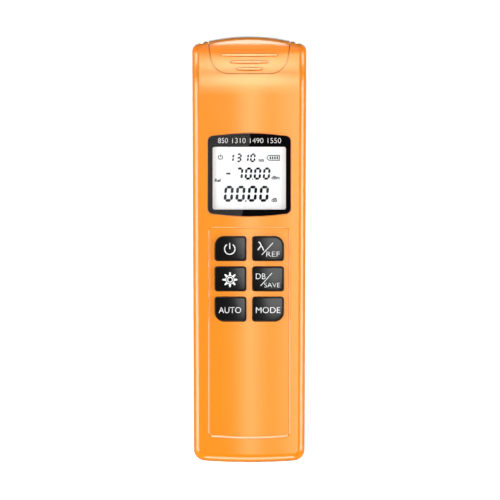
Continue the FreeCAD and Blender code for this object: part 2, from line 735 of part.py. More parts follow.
def recess_foot(shape, edge):
    """Edges between the sides and the floor of a recess."""
    sides = [rises(face) for face in shape.ancestorsOfType(edge, Part.Face)]
    return len(sides) == 2 and min(abs(z) for z in sides) < 0.01 and min(sides) < -0.3


def circles(places, radius):
    return [Circle(x, y, radius) for x, y in places]


face_skin = face_form("face_skin", 0)
flap_depth = D.flap_cover_wall + D.flap_liner_gap + D.flap_liner_wall + D.flap_rest_gap


def make_front_shell():
    """The orange shell: a thin moulding with ribs and bosses under it, cut for all that fills it."""
    hollow = face_form("face_hollow", D.wall)
    surround = Piece("flap_surround").pad("XY", D.parting, over, flap_outline(-D.surround_wall))
    inner = Piece("face_ribs")
    half = D.view_width / 2 + D.view_margin + D.seat_rib
    high = view_low + D.view_height + D.view_margin + D.seat_rib
    rib_top = D.thickness - D.wall
    inner.pad("XY", rib_low, rib_top, rectangle(-half, lens_low - D.lens_gap, half, lens_high))
    inner.pad("XY", D.parting, rib_top - D.wall / 2, *circles(shell_bosses, D.boss_radius))
    inner.pad("XY", board_high, rib_top - D.wall / 2, *circles(board_bosses, D.board_boss_radius))
    skin = cut("face_wall", face_skin, hollow)
    solid = join("face_solid", skin, common("face_surround", surround, face_skin), inner)

    lens = Piece("lens_pocket").pad("XY", seat_z - D.mask_thickness, over, lens_outline(-D.lens_gap))
    openings = Piece("face_openings").pad(
        "XY", D.parting - 1, over, view_outline(D.view_margin),
        *[key_outline(column, row, D.key_gap) for row in range(3) for column in range(2)]
    )
    prism = Piece("flap_opening_outline").pad("XY", D.parting - 1, over, flap_outline(0))
    opening = cut("flap_opening", prism, face_form("flap_ledge", flap_depth))
    bay = D.bay_width / 2
    slot = D.bulkhead_width / 2 + D.bulkhead_gap
    well = Piece("port_well").pad("XY", D.parting - 1, over, rectangle(-bay, bulkhead_front, bay, beyond))
    brim = Piece("port_well_brim").pad("XY", D.parting - 1, over, flap_outline(D.flap_ledge))
    port_bay = Piece("bulkhead_room")
    port_bay.pad(
        "XY", D.parting - 1, D.bulkhead_top + D.bulkhead_gap,
        rectangle(-slot, bulkhead_back - D.bulkhead_gap, slot, bulkhead_front),
    )
    reach = D.holder_radius + D.lip_width
    back = flap_low - D.surround_wall - 1
    port_bay.pad("XY", D.parting - 1, D.bulkhead_top, rectangle(-reach, back, reach, bulkhead_front))
    edge = Piece("face_edge_cuts")
    edge.pad("XY", D.parting, D.parting + D.lip_height + D.lip_gap, plan(D.lip_width - D.lip_gap))
    groove = Piece("parting_ring")
    groove.pad("XY", D.parting, D.parting + D.parting_groove, plan(-1))
    groove.pocket("XY", D.parting, D.parting + D.parting_groove, plan(D.parting_groove))
    pilots = Piece("pilot_holes")
    deep = D.screw_seat + D.screw_length + 1
    pilots.pad("XY", D.parting - 1, deep, *circles(shell_bosses, D.screw_radius))
    board_deep = board_low + D.small_screw_length + 0.3
    pilots.pad("XY", board_low, board_deep, *circles(board_bosses, D.small_screw_radius))
    rebate = cut("lip_rebate", edge, surround, inner)
    notch = Piece("face_hinge_notch").pad(
        "XY", D.parting - 1, hinge_height + D.barrel_radius + D.notch_gap,
        rectangle(-notch_half, notch_low, notch_half, beyond),
    )
    recess = coved_recess("panel_recess", D.panel_depth, panel_outline(), rib_low, D.panel_cove)
    return cut(
        "front_shell", solid, recess, lens, openings, opening, common("port_bay", well, brim), port_bay,
        rebate, groove, pilots, notch
    )


front_shell = make_front_shell()


# ------------------------------------------------------------------ cap over the port
slit = D.flap_slit
liner_out = D.flap_cover_wall + D.flap_liner_gap
liner_in = liner_out + D.flap_liner_wall
barrel_half = D.flap_width / 2 - slit * 2


def turned_x(label, y, z, radius, low, high, bore=None):
    """A round bar along X, bored through if a bore is given."""
    bar = Piece(label).pad("YZ", low, high, Circle(y, z, radius))
    if bore:
        bar.pocket("YZ", low, high, Circle(y, z, bore))
    return bar


def grip_outline(y, length):
    """A grip rib's plan: bowed long edges and round ends."""
    end = D.grip_width / 2 - D.grip_bow
    half = length / 2 - end
    bend = (half * half + D.grip_bow * D.grip_bow) / (D.grip_bow * 2)
    loop = Loop(-half, y - end).arc(half, y - end, bend).arc(half + end, y, end)
    loop.arc(half, y + end, end).arc(-half, y + end, bend)
    return loop.arc(-half - end, y, end).arc(-half, y - end, end)


def make_cap_cover():
    """The orange cover: roof and end wall in one skin, with three grip ribs."""
    outline = Piece("cover_outline").pad("XY", D.parting, over, flap_outline(slit))
    skin = common("cover_solid", outline, face_skin)
    low = D.thickness - D.roll_radius / 2
    lengths = (D.grip_long, D.grip_middle, D.grip_short)
    places = [flap_low + D.grip_first - D.grip_pitch * number for number in range(3)]
    bars = [grip_outline(*bar) for bar in zip(places, lengths)]
    grips = Piece("grip_outlines").pad("XY", low, over, *bars)
    ribs = common("grip_ribs", grips, face_form("grip_tops", -D.grip_height, rim=False))
    clear = D.barrel_radius + D.flap_liner_gap
    turn = turned_x("cover_hinge_room", hinge_y, hinge_height, clear, -D.width_top, D.width_top)
    return cut(
        "cap_cover", join("cover_with_ribs", skin, ribs), face_form("cover_inside", D.flap_cover_wall), turn
    )


def make_cap_liner():
    """The grey liner: a skin inside the cover, an end skirt and the hinge barrel."""
    outline = Piece("liner_outline")
    outline.pad("XY", D.parting, over, flap_outline(slit + D.flap_liner_margin))
    outer, inner = face_form("liner_outside", liner_out), face_form("liner_inside", liner_in)
    skin = cut("liner_skin", common("liner_solid", outline, outer), inner)
    skirt_inner = top - liner_in - D.corner_top / 2
    skirt = Piece("liner_skirt")
    skirt.pad("XY", hinge_height - D.strip_depth, D.parting, plan(0, D.end_lip))
    inside = rectangle(-D.width_top, base - D.wall, D.width_top, skirt_inner)
    skirt.pocket("XY", hinge_height - D.strip_depth, D.parting, inside)
    side = rectangle(-barrel_half, skirt_inner, barrel_half, beyond)
    sides = Piece("skirt_sides").pad("XY", hinge_height - D.strip_depth, D.parting, side)
    barrel = turned_x("liner_barrel", hinge_y, hinge_height, D.barrel_radius, -barrel_half, barrel_half)
    web = Piece("liner_web").pad(
        "XY", D.parting, D.parting + D.barrel_radius,
        rectangle(-barrel_half, skirt_inner, barrel_half, top - liner_out),
    )
    bore = turned_x("barrel_bore", hinge_y, hinge_height, D.pin_radius + D.pin_gap, -D.width_top, D.width_top)
    end_wall = common("liner_skirt_solid", skirt, sides)
    body = join("liner_body", skin, end_wall, barrel, common("liner_web_solid", web, outer, outline))
    return cut("cap_liner", body, bore)


cap_cover = make_cap_cover()
cap_liner = make_cap_liner()
pin_half = D.flap_width / 2 + D.pin_hold
hinge_pin = turned_x("hinge_pin", hinge_y, hinge_height, D.pin_radius, -pin_half, pin_half)

# ------------------------------------------------------------------ rear shell
bay_low = base + D.bay_from_base
bay_high = bay_low + D.bay_length
tongue_low = D.wall + D.door_slide_gap
tongue_high = tongue_low + D.door_tongue_thickness
cell_z = tongue_high + D.cell_gap + D.cell_radius
bay_top = cell_z + D.cell_radius + D.cell_gap
bay_half = D.cell_pitch + D.cell_radius + D.bay_side_gap
rail_half = D.door_width / 2 + D.door_tongue + D.door_gap


def make_rear_shell():
    """The grey shell: battery bay, screw bosses, hinge shoulders and the floor of the port bay."""
    skin = back_form("back_skin", 0, D.parting)
    hollow = back_form("back_hollow", D.wall, D.parting)
    lip = Piece("back_lip")
    lip_top = D.parting + D.lip_height
    lip.pad("XY", D.parting - D.wall, lip_top, plan(D.lip_width))
    lip.pocket("XY", D.parting - D.wall, lip_top, plan(D.wall))
    clear = D.flap_width / 2 + D.surround_wall + D.lip_gap
    opening = rectangle(-clear, flap_low - D.surround_wall - D.lip_gap, clear, beyond)
    lip.pocket("XY", D.parting - D.wall, lip_top, opening)

    box = Piece("battery_box")
    outer = bay_half + D.bay_wall
    foot = rail_half + D.bay_wall
    ledge = tongue_high + D.door_slide_gap
    box.pad("XY", D.wall / 2, ledge, rectangle(-foot, bay_low - D.bay_wall, foot, bay_high + D.bay_wall))
    box.pocket("XY", D.wall / 2, ledge, rectangle(-rail_half, base, rail_half, bay_high - D.wall))
    near, far = bay_low - D.bay_wall, bay_high + D.bay_wall
    box.pad("XY", ledge, ledge + D.bay_wall, rectangle(-foot, near, foot, far))
    box.pad("XY", ledge, bay_top + D.bay_wall, rectangle(-outer, near, outer, far))
    box.pocket("XY", D.wall / 2, bay_top, rectangle(-bay_half, bay_low, bay_half, bay_high))

    inner = Piece("back_bosses")
    boss_base = D.back_ogee_rise * 2 + D.wall / 2
    inner.pad("XY", boss_base, D.parting, *circles(shell_bosses, D.back_boss_radius))
    lower = [place for place in shell_bosses if place[1].value < 0]
    inner.pad("XY", D.wall / 2, boss_base, *circles(lower, D.back_boss_radius))
    shoulders = Piece("hinge_shoulders")
    floor_z = D.bay_floor
    edge = pin_half + D.bay_wall
    shoulders.pad("XY", boss_base, D.parting, rectangle(-edge, notch_low - D.wall, edge, beyond))
    shoulders.pocket("XY", floor_z, D.parting, rectangle(-notch_half, base, notch_half, beyond))
    low = bulkhead_back - D.bulkhead_gap
    bay_floor = rectangle(-notch_half, low, notch_half, notch_low)
    shoulders.pad("XY", floor_z - D.bay_floor_thickness, floor_z, bay_floor)
    rib = rectangle(-D.bulkhead_width / 2, low, D.bulkhead_width / 2, low + D.bay_wall)
    shoulders.pad("XY", boss_base, floor_z, rib)

    wall = cut("back_wall", skin, hollow)
    solid = join("back_solid", wall, lip, box, inner, common("back_shoulders", shoulders, skin))

    door_half = D.door_width / 2 + D.door_gap
    door = Piece("door_opening")
    door.pad("XY", -D.wall, ledge - D.door_slide_gap, rectangle(-door_half, base - 1, door_half, door_high))
    end_slot = rectangle(-door_half, base - 1, door_half, bay_low - D.bay_wall - D.door_gap)
    door.pad("XY", -D.wall, D.door_end_height + D.door_gap, end_slot)
    runs = rectangle(-rail_half, base - 1, rail_half, door_high - D.door_grip_pitch)
    grooves = Piece("door_grooves").pad("XY", D.wall, ledge, runs)
    notch = Piece("hinge_notch").pad("XY", -1, lip_top, rectangle(-notch_half, notch_low, notch_half, beyond))
    seats = Piece("pin_seats")
    seat = D.pin_radius
    seats.pad("YZ", -pin_half, pin_half, Circle(hinge_y, hinge_height, seat))
    way_in = rectangle(hinge_y - seat, hinge_height, hinge_y + seat, D.parting + 1)
    seats.pad("YZ", -pin_half, pin_half, way_in)
    holes = Piece("screw_holes")
    holes.pad("XY", -1, D.screw_seat, *circles(shell_bosses, D.screw_head_radius + D.screw_gap))
    holes.pad("XY", D.screw_seat, D.parting + 1, *circles(shell_bosses, D.screw_radius + D.screw_gap))
    return cut("rear_shell", solid, door, grooves, notch, seats, holes)


rear_shell = make_rear_shell()


def make_battery_door():
    """The sliding door: a thin cover that curls up at the end, with side tongues and a thumb grip."""
    half = D.door_width / 2
    high = door_high - D.door_gap
    outer = back_form("door_outside", D.door_sunk, D.parting)
    inner = back_form("door_inside", D.door_sunk + D.door_skin, D.parting)
    area = Piece("door_area").pad("XY", 0, D.door_end_height, rectangle(-half, base - 1, half, high))
    skin = cut("door_skin", common("door_solid", area, outer), inner)
    frame = Piece("door_frame")
    end = bay_low - D.bay_wall
    core = half - D.door_gap
    tongue = half + D.door_tongue
    tip = high - D.door_grip_pitch - D.door_gap
    raised = rectangle(-core, end, core, high - D.door_gap)
    frame.pad("XY", D.door_sunk + D.door_skin / 2, tongue_high, raised)
    frame.pad("XY", tongue_low, tongue_high, rectangle(-tongue, end, tongue, tip))
    rim = core - D.door_rim
    inside = rectangle(-rim, end + D.door_rim, rim, high - D.door_rim)
    frame.pocket("XY", D.door_sunk + D.door_skin, tongue_high, inside)
    grip_y = high - D.door_grip_from_end
    span = D.door_grip_pitch * (int(D.door_grip_ribs.value) + 1)
    hollow = Piece("thumb_hollow")
    r = D.door_grip_width
    wide = D.door_grip_length / 2 + r
    thumb = rounded(-wide, grip_y - span / 2, wide, grip_y + span / 2, r)
    hollow.pad("XY", 0, D.door_sunk + D.door_grip_depth, thumb)
    ribs = Piece("thumb_ribs")
    bars = []
    for number in range(int(D.door_grip_ribs.value)):
        y = grip_y + D.door_grip_pitch * (number - (int(D.door_grip_ribs.value) - 1) / 2)
        bars.append(stadium(0, y, D.door_grip_length, D.door_grip_width))
    ribs.pad("XY", D.door_sunk, D.door_sunk + D.door_grip_depth + D.door_skin / 4, *bars)
    return join("battery_door", cut("door_body", join("door_blank", skin, frame), hollow), ribs)


battery_door = make_battery_door()

# ------------------------------------------------------------------ display
display_top = rib_low - D.display_gap
glass_low = display_top - D.glass_thickness * 2
display_y = view_low + D.view_height / 2
display_low = display_y - D.display_height / 2
display_high = display_y + D.display_height / 2


def make_display_lens():
    """The clear window: flat below, and crowned with the face above."""
    blank = Piece("lens_blank").pad("XY", seat_z, over, lens_outline(0))
    return common("display_lens", blank, face_form("lens_top", D.lens_sunk, rim=False))


display_lens = make_display_lens()
lens_mask = Piece("lens_mask")
lens_mask.pad("XY", seat_z - D.mask_thickness, seat_z, lens_outline(D.mask_margin), view_outline(0))

half_display = D.display_width / 2
lcd_panel = Piece("lcd_panel")
lcd_panel.pad(
    "XY", glass_low, glass_low + D.glass_thickness,
    rectangle(-half_display, display_low, half_display, display_high),
)
lcd_panel.pad(
    "XY", glass_low + D.glass_thickness, display_top,
    rectangle(-half_display, display_low, half_display, display_high - D.display_ledge),
)
guide_high = display_high - D.display_ledge - D.frame_gap
lcd_backlight = Piece("lcd_backlight").pad(
    "XY", glass_low - D.light_guide, glass_low,
    rectangle(-half_display, display_low, half_display, guide_high),
)
lcd_connector = Piece("lcd_connector").pad(
    "XY", board_high, glass_low,
    rectangle(-half_display + D.frame_wall, guide_high + D.frame_gap * 2, half_display - D.frame_wall, display_high),
)


def make_lcd_frame():
    """The frame that holds the glass, the backlight and the connector on the board."""
    inner, outer = D.frame_gap, D.frame_gap + D.frame_wall
    frame = Piece("lcd_frame")
    ring = [
        rectangle(-half_display - grow, display_low - grow, half_display + grow, display_high + grow)
        for grow in (outer, inner)
    ]
    return frame.pad("XY", board_high, display_top, *ring)


lcd_frame = make_lcd_frame()

# ------------------------------------------------------------------ keys and keypad
KEYS = [
    ("power_key", 0, 0), ("wavelength_key", 1, 0), ("backlight_key", 0, 1),
    ("save_key", 1, 1), ("auto_key", 0, 2), ("mode_key", 1, 2),
]
mat_high = board_high + D.mat_base
dome_high = mat_high + D.dome_height
key_tops = face_form("key_tops", -D.key_proud, rim=False)
key_places = [(x, y) for y in key_rows for x in key_columns]


def key_rim(shape, edge):
    """Edges between a key's sides and its top."""
    return min(edge.valueAt(t).z for t in parameters(edge)) > (D.thickness - D.panel_depth).value


def make_key(label, column, row):
    """A moulded key: a crowned cap with a soft edge, on a flange that keeps it in the shell."""
    blank = Piece(label + "_blank").pad("XY", dome_high, over, key_outline(column, row))
    cap = common(label + "_cap", blank, key_tops)
    edges = names_of_edges(cap.Shape, key_rim)
    soft = doc.addObject("Part::Fillet", label + "_soft")
    soft.Base = cap
    soft.Edges = [(int(name[4:]), D.key_crown_edge.value, D.key_crown_edge.value) for name in edges]
    flange = Piece(label + "_flange")
    high = dome_high + D.key_flange_thickness
    flange.pad("XY", dome_high, high, key_outline(column, row, D.key_flange))
    return join(label, soft, flange)


keys = [make_key(*key) for key in KEYS]


def make_keypad_mat():
    """The silicone keypad: one sheet with a hollow dome and a contact pill under each key."""
    mat = Piece("keypad_mat")
    wide = D.key_pitch_x / 2 + D.key_width / 2 + D.mat_margin
    low = key_rows[2] - D.key_height / 2 - D.mat_margin
    high = key_rows[0] + D.key_height / 2 + D.mat_margin
    mat.pad("XY", board_high, mat_high, rounded(-wide, low, wide, high, D.panel_corner))
    for x, y in key_places:
        dome = Loop(x, mat_high).line(x + D.dome_foot, mat_high).line(x + D.dome_top, dome_high).line(x, dome_high)
        turn_upright(mat, "PartDesign::Revolution", x, y, dome)
        roof = dome_high - D.dome_roof
        hollow = Loop(x, board_high).line(x + D.dome_foot - D.dome_wall, board_high)
        hollow.line(x + D.dome_top - D.dome_wall / 2, roof).line(x, roof)
        turn_upright(mat, "PartDesign::Groove", x, y, hollow)
        mat.pad("XY", roof - D.pill_height, roof, Circle(x, y, D.pill_radius))
    return mat


def turn_upright(piece, kind, x, y, profile):
    """Turns a profile, drawn at station y, round the upright line through x and y."""
    sketch = piece.sketch("XZ", y, [profile])
    line = sketch.addGeometry(Part.LineSegment(Vector(x.value, 0, 0), Vector(x.value, 10, 0)), True)
    sketch.addConstraint(Sketcher.Constraint("Vertical", line))
    number = sketch.addConstraint(Sketcher.Constraint("DistanceX", -1, 1, line, 1, x.value))
    sketch.setExpression("Constraints[%d]" % number, x.formula)
    feature = piece.body.newObject(kind, piece.body.Name + "_" + kind[12:].lower())
    feature.Profile = sketch
    feature.ReferenceAxis = (sketch, ["Axis0"])
    feature.Angle = 360
    feature.Refine = False
    doc.recompute()


keypad_mat = make_keypad_mat()
key_contacts = Piece("key_contacts").pad(
    "XY", board_high, board_high + D.contact_thickness, *circles(key_places, D.contact_radius)
)

# ------------------------------------------------------------------ circuit board
board_half = D.width_bottom / 2 - D.wall - D.board_edge_gap


def make_main_board():
    """The board, with holes for its own screws and round cuts for the shells' bosses."""
    board = Piece("main_board").pad(
        "XY", board_low, board_high,
        rounded(-board_half, board_base, board_half, board_top, D.board_corner),
    )
    through = D.small_screw_radius + D.screw_gap
    board.pocket("XY", board_low, board_high, *circles(board_bosses, through))
    clear = D.boss_radius + D.board_edge_gap / 2
    cuts = [Circle(x, y, clear) for x, y in shell_bosses]
    board.pocket("XY", board_low, board_high, *cuts)
    return board


main_board = make_main_board()
CHIPS = [
    (-7.0, -14.0, 12.0, 12.0, 1.4),
    (8.0, 34.0, 8.0, 8.0, 1.2),
    (-8.0, 46.0, 5.0, 4.0, 1.5),
    (9.0, -36.0, 6.5, 5.0, 1.8),
]
board_chips = Piece("board_chips")
for x, y, width, height, depth in CHIPS:
    chip = rectangle(x - width / 2, y - height / 2, x + width / 2, y + height / 2)
    board_chips.pad("XY", board_low - depth, board_low, chip)


def cross_recess(piece, x, y, low, high, reach):
    """The cross cut in a screw's head."""
    for half, rise in ((reach, D.recess_width / 2), (D.recess_width / 2, reach)):
        piece.pocket("XY", low, high, rectangle(x - half, y - rise, x + half, y + rise))


def make_screws(label, places, head_top, length, radius, head_radius, head_height):
    """Screws that point up, each with its head below."""
    screws = Piece(label)
    screws.pad("XY", head_top - head_height, head_top, *circles(places, head_radius))
    screws.pad("XY", head_top, head_top + length, *circles(places, radius))
    for x, y in places:
        cross_recess(screws, x, y, head_top - head_height, head_top - head_height * 0.4, head_radius * 0.6)
    return screws


shell_screws = make_screws(
    "shell_screws", shell_bosses, D.screw_seat, D.screw_length, D.screw_radius,
    D.screw_head_radius, D.screw_head_height,
)
board_screws = make_screws(
    "board_screws", board_bosses, board_low, D.small_screw_length, D.small_screw_radius,
    D.small_head_radius, D.small_head_height,
)

# ------------------------------------------------------------------ optical port
port_z = D.port_height
flange_front = bulkhead_front + D.adapter_flange
stub_end = bulkhead_front + D.stub_length
holder_back = bulkhead_back - D.holder_length
ears = [side * D.adapter_ear for side in (-1, 1)]


def make_port_mount():
    """The bulkhead across the case that carries the adapter."""
    half = D.bulkhead_width / 2
    mount = Piece("port_mount").pad(
        "XZ", bulkhead_back, bulkhead_front, rounded(-half, D.bay_floor, half, D.bulkhead_top, D.panel_corner)
    )
    mount.pocket("XZ", bulkhead_back, bulkhead_front, Circle(0, port_z, D.adapter_spigot + D.can_gap))
    holes = [Circle(x, port_z, D.small_screw_radius + D.can_gap) for x in ears]
    mount.pocket("XZ", bulkhead_back, bulkhead_front, *holes)
    return mount


def make_port_adapter():
    """The metal adapter: flange with two ears, threaded stub and ferrule sleeve."""
    adapter = Piece("port_adapter")
    adapter.pad("XZ", bulkhead_back, flange_front, Circle(0, port_z, D.adapter_spigot))
    adapter.pad("XZ", bulkhead_front, flange_front, Circle(0, port_z, D.adapter_flange_radius))
    for x in ears:
        adapter.pad("XZ", bulkhead_front, flange_front, Circle(x, port_z, D.adapter_ear_radius))
    web = D.adapter_ear_radius * 0.9
    bridge = rectangle(ears[0], port_z - web, ears[1], port_z + web)
    adapter.pad("XZ", bulkhead_front, flange_front, bridge)
    adapter.pad("XZ", flange_front, stub_end, Circle(0, port_z, D.stub_radius))
    adapter.pocket("XZ", stub_end - D.stub_bore_depth, stub_end, Circle(0, port_z, D.stub_bore))
    sleeve_end = stub_end - D.sleeve_sunk
    adapter.pad("XZ", stub_end - D.stub_bore_depth, sleeve_end, Circle(0, port_z, D.sleeve_radius))
    adapter.pocket("XZ", bulkhead_back, sleeve_end, Circle(0, port_z, D.ferrule_bore))
    slot = D.key_slot / 2
    notch = rectangle(-slot, port_z + D.sleeve_radius, slot, port_z + D.stub_radius + 1)
    adapter.pocket("XZ", stub_end - D.key_slot_depth, stub_end, notch)
    ear_holes = [Circle(x, port_z, D.small_screw_radius + D.can_gap) for x in ears]
    adapter.pocket("XZ", bulkhead_front, flange_front, *ear_holes)
    return adapter


def make_adapter_screws():
    """Two small screws that hold the adapter on the bulkhead."""
    screws = Piece("adapter_screws")
    shanks = [Circle(x, port_z, D.small_screw_radius) for x in ears]
    heads = [Circle(x, port_z, D.small_head_radius) for x in ears]
    screws.pad("XZ", bulkhead_back, flange_front, *shanks)
    screws.pad("XZ", flange_front, flange_front + D.small_head_height, *heads)
    reach, width = D.small_head_radius * 0.6, D.recess_width / 2
    for x in ears:
        for half, rise in ((reach, width), (width, reach)):
            arm = rectangle(x - half, port_z - rise, x + half, port_z + rise)
            depth = flange_front + D.small_head_height * 0.4
            screws.pocket("XZ", depth, flange_front + D.small_head_height, arm)
    return screws


def make_detector_holder():
    """The holder behind the bulkhead that centres the photodiode."""
    holder = Piece("detector_holder")
    holder.pad("XZ", holder_back, bulkhead_back, Circle(0, port_z, D.holder_radius))
    holder.pocket("XZ", holder_back, bulkhead_back, Circle(0, port_z, D.can_radius + D.can_gap))
    return holder


def make_photodiode():
    """The photodiode: a can with a flange and two leads that turn up into the board."""
    diode = Piece("photodiode")
    can_back = bulkhead_back - D.can_gap - D.can_length
    diode.pad("XZ", can_back, bulkhead_back - D.can_gap, Circle(0, port_z, D.can_radius))
    lead_end = holder_back - D.lead_run
    leads = [Circle(side * D.lead_spread, port_z, D.lead_radius) for side in (-1, 1)]
    diode.pad("XZ", lead_end, can_back, *leads)
    tips = [Circle(side * D.lead_spread, lead_end, D.lead_radius) for side in (-1, 1)]
    diode.pad("XY", port_z, board_low, *tips)
    return diode


port_mount = make_port_mount()
port_adapter = make_port_adapter()
adapter_screws = make_adapter_screws()
detector_holder = make_detector_holder()
photodiode = make_photodiode()

# ------------------------------------------------------------------ batteries and contacts
cell_room = bay_low + D.plate_thickness
cell_columns = [D.cell_pitch * step for step in (-1, 0, 1)]
spring_room = D.bay_length - D.plate_thickness * 2 - D.cell_length


def make_cell(number, x):
    """An AAA cell, its nub to the port end in the outer columns and to the other in the middle."""
    up = number != 1
    cell = Piece("battery_cell_%d" % (number + 1))
    low = cell_room + (spring_room if up else 0)
    high = low + D.cell_length
    body = (low, high - D.cell_nub_length) if up else (low + D.cell_nub_length, high)
    nub = (high - D.cell_nub_length, high) if up else (low, low + D.cell_nub_length)
    cell.pad("XZ", *body, Circle(x, cell_z, D.cell_radius))
    ends = [at_station(body[0]), at_station(body[1])]
    cell.chamfer(D.cell_edge, lambda shape, edge: any(at_end(shape, edge) for at_end in ends))
    return cell.pad("XZ", *nub, Circle(x, cell_z, D.cell_nub_radius))


battery_cells = [make_cell(number, x) for number, x in enumerate(cell_columns)]


def make_battery_plates():
    """Contact plates at both ends of the bay: single ones, and pairs joined across two cells."""
    plates = Piece("battery_plates")
    half, rise, thick = D.plate_width / 2, D.plate_height / 2, D.plate_thickness
    low_end, high_end = bay_low, bay_high - thick
    left, middle, right = cell_columns
    for start, first, last in (
        (low_end, left, left), (low_end, middle, right), (high_end, left, middle), (high_end, right, right)
    ):
        face = rounded(first - half, cell_z - rise, last + half, cell_z + rise, D.key_corner)
        plates.pad("XZ", start, start + thick, face)
    return plates


def make_battery_springs():
    """A coil spring behind the flat end of each cell, of six-sided wire."""
    coils = []
    half, rise = D.spring_wire / 2, D.spring_wire * root(size(3)) / 2
    r = D.spring_radius
    section = Loop(r + D.spring_wire, 0).line(r + half, rise).line(r - half, rise)
    section.line(r - D.spring_wire, 0).line(r - half, -rise).line(r + half, -rise)
    gap = spring_room - D.spring_wire * 2
    for number, x in enumerate(cell_columns):
        helix = doc.addObject("Part::Helix", "spring_helix")
        helix.setExpression("Radius", D.spring_radius.formula)
        helix.setExpression("Height", gap.formula)
        helix.setExpression("Pitch", (gap / D.spring_turns).formula)
        start = cell_room if number != 1 else bay_high - D.plate_thickness - spring_room
        start = start + D.spring_wire
        helix.Placement = FreeCAD.Placement(Vector(0, 0, 0), FreeCAD.Rotation(0, 0, -90))
        for axis, place in zip("xyz", (x, start, cell_z)):
            helix.setExpression(".Placement.Base." + axis, place.formula)
        wire = doc.addObject("Sketcher::SketchObject", "spring_wire")
        draw(wire, section)
        wire.Placement = FreeCAD.Placement(Vector(0, 0, 0), FreeCAD.Rotation(0, 0, 0))
        for axis, place in zip("xyz", (x, start, cell_z)):
            wire.setExpression(".Placement.Base." + axis, place.formula)
        doc.recompute()
        coil = sweep("spring_coil", wire, helix)
        coil.Frenet = True
        coils.append(coil)
    doc.recompute()
    return combine("Part::Compound", "battery_springs", coils)


battery_plates = make_battery_plates()
battery_springs = make_battery_springs()

# ------------------------------------------------------------------ check and write
NODES = [
    front_shell, rear_shell, cap_cover, cap_liner, hinge_pin, battery_door, display_lens, lens_mask,
    lcd_panel, lcd_backlight, lcd_connector, lcd_frame, *keys, keypad_mat, key_contacts, main_board,
    board_chips, shell_screws, board_screws, port_mount, port_adapter, adapter_screws,
    detector_holder, photodiode, *battery_cells, battery_plates, battery_springs,
]
doc.recompute()
for item in doc.Objects:
    if "Invalid" in item.State or "Error" in item.State:
        raise RuntimeError("%s can't be built: %s" % (item.Label, item.getStatusString()))
os.makedirs("parts", exist_ok=True)
for node in NODES:
    node = getattr(node, "body", node)
    if node.Shape.isNull() or not node.Shape.isValid():
        raise RuntimeError("%s has no sound shape" % node.Label)
    node.Shape.exportStep("parts/%s.step" % node.Label)
    print(node.Label, len(node.Shape.Solids), round(node.Shape.Volume, 1))
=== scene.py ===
"""Finishes, printed legends, display and stage of a handheld optical power meter.

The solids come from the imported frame. X runs across the width, Y along the length towards the
optical port, Z up out of the face. Lengths are in metres; printed shapes are drawn in millimetres.
"""

import math

import bmesh
import bpy
from bpy.props import FloatProperty, FloatVectorProperty, PointerProperty
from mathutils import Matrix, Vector
from mathutils.bvhtree import BVHTree


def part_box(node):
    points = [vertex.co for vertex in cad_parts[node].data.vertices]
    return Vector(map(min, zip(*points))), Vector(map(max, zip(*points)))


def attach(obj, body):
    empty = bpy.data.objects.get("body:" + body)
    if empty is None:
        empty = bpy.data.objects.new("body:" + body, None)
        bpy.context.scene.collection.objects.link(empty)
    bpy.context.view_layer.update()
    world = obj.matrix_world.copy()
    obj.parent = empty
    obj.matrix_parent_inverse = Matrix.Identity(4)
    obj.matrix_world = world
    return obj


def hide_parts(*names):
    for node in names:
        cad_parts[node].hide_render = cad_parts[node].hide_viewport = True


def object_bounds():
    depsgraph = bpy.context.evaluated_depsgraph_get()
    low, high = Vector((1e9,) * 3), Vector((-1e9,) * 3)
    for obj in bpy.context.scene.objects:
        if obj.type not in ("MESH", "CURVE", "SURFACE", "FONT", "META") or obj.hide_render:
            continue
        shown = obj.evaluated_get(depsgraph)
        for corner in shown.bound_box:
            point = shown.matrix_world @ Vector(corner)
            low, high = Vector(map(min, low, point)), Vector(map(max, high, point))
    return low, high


bl_info = {
    "name": "Optical power meter finishes",
    "version": (1, 0, 0),
    "blender": (4, 5, 0),
    "location": "3D View > Sidebar > Meter",
    "description": "Dresses a handheld optical power meter with its finishes and legends",
    "category": "Object",
}

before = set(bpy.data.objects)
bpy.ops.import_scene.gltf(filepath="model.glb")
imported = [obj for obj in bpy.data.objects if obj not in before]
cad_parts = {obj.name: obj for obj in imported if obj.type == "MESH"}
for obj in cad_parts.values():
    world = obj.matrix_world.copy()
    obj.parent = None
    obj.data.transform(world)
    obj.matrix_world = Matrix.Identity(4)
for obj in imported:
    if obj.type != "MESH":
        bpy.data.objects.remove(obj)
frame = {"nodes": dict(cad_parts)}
CAD_BOX = [list(corner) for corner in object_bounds()]
MM = 0.001
PLASTIC_IOR = 1.49
END_RADIUS = 0.080  # of the curve that ends the port cap, seen from above
FLOOR_DROP = 0.00005  # keeps the floor's plane apart from the flat of the back
VIEW_MIDDLE = (0.0003, -0.0004)  # X and Y that the camera looks straight down on


# ------------------------------------------------------------------ what a user would change
def colour(name, description, default):
    return FloatVectorProperty(
        name=name, description=description, default=default, subtype="COLOR", size=3, min=0.0, max=1.0
    )


def length(name, description, default):
    return FloatProperty(
        name=name, description=description, default=default, subtype="DISTANCE", unit="LENGTH", min=0.0
    )


def share(name, description, default):
    return FloatProperty(
        name=name, description=description, default=default, subtype="FACTOR", min=0.0, max=1.0
    )


def lamp_level(name, description, default):
    return FloatProperty(name=name, description=description, default=default, min=0.0)


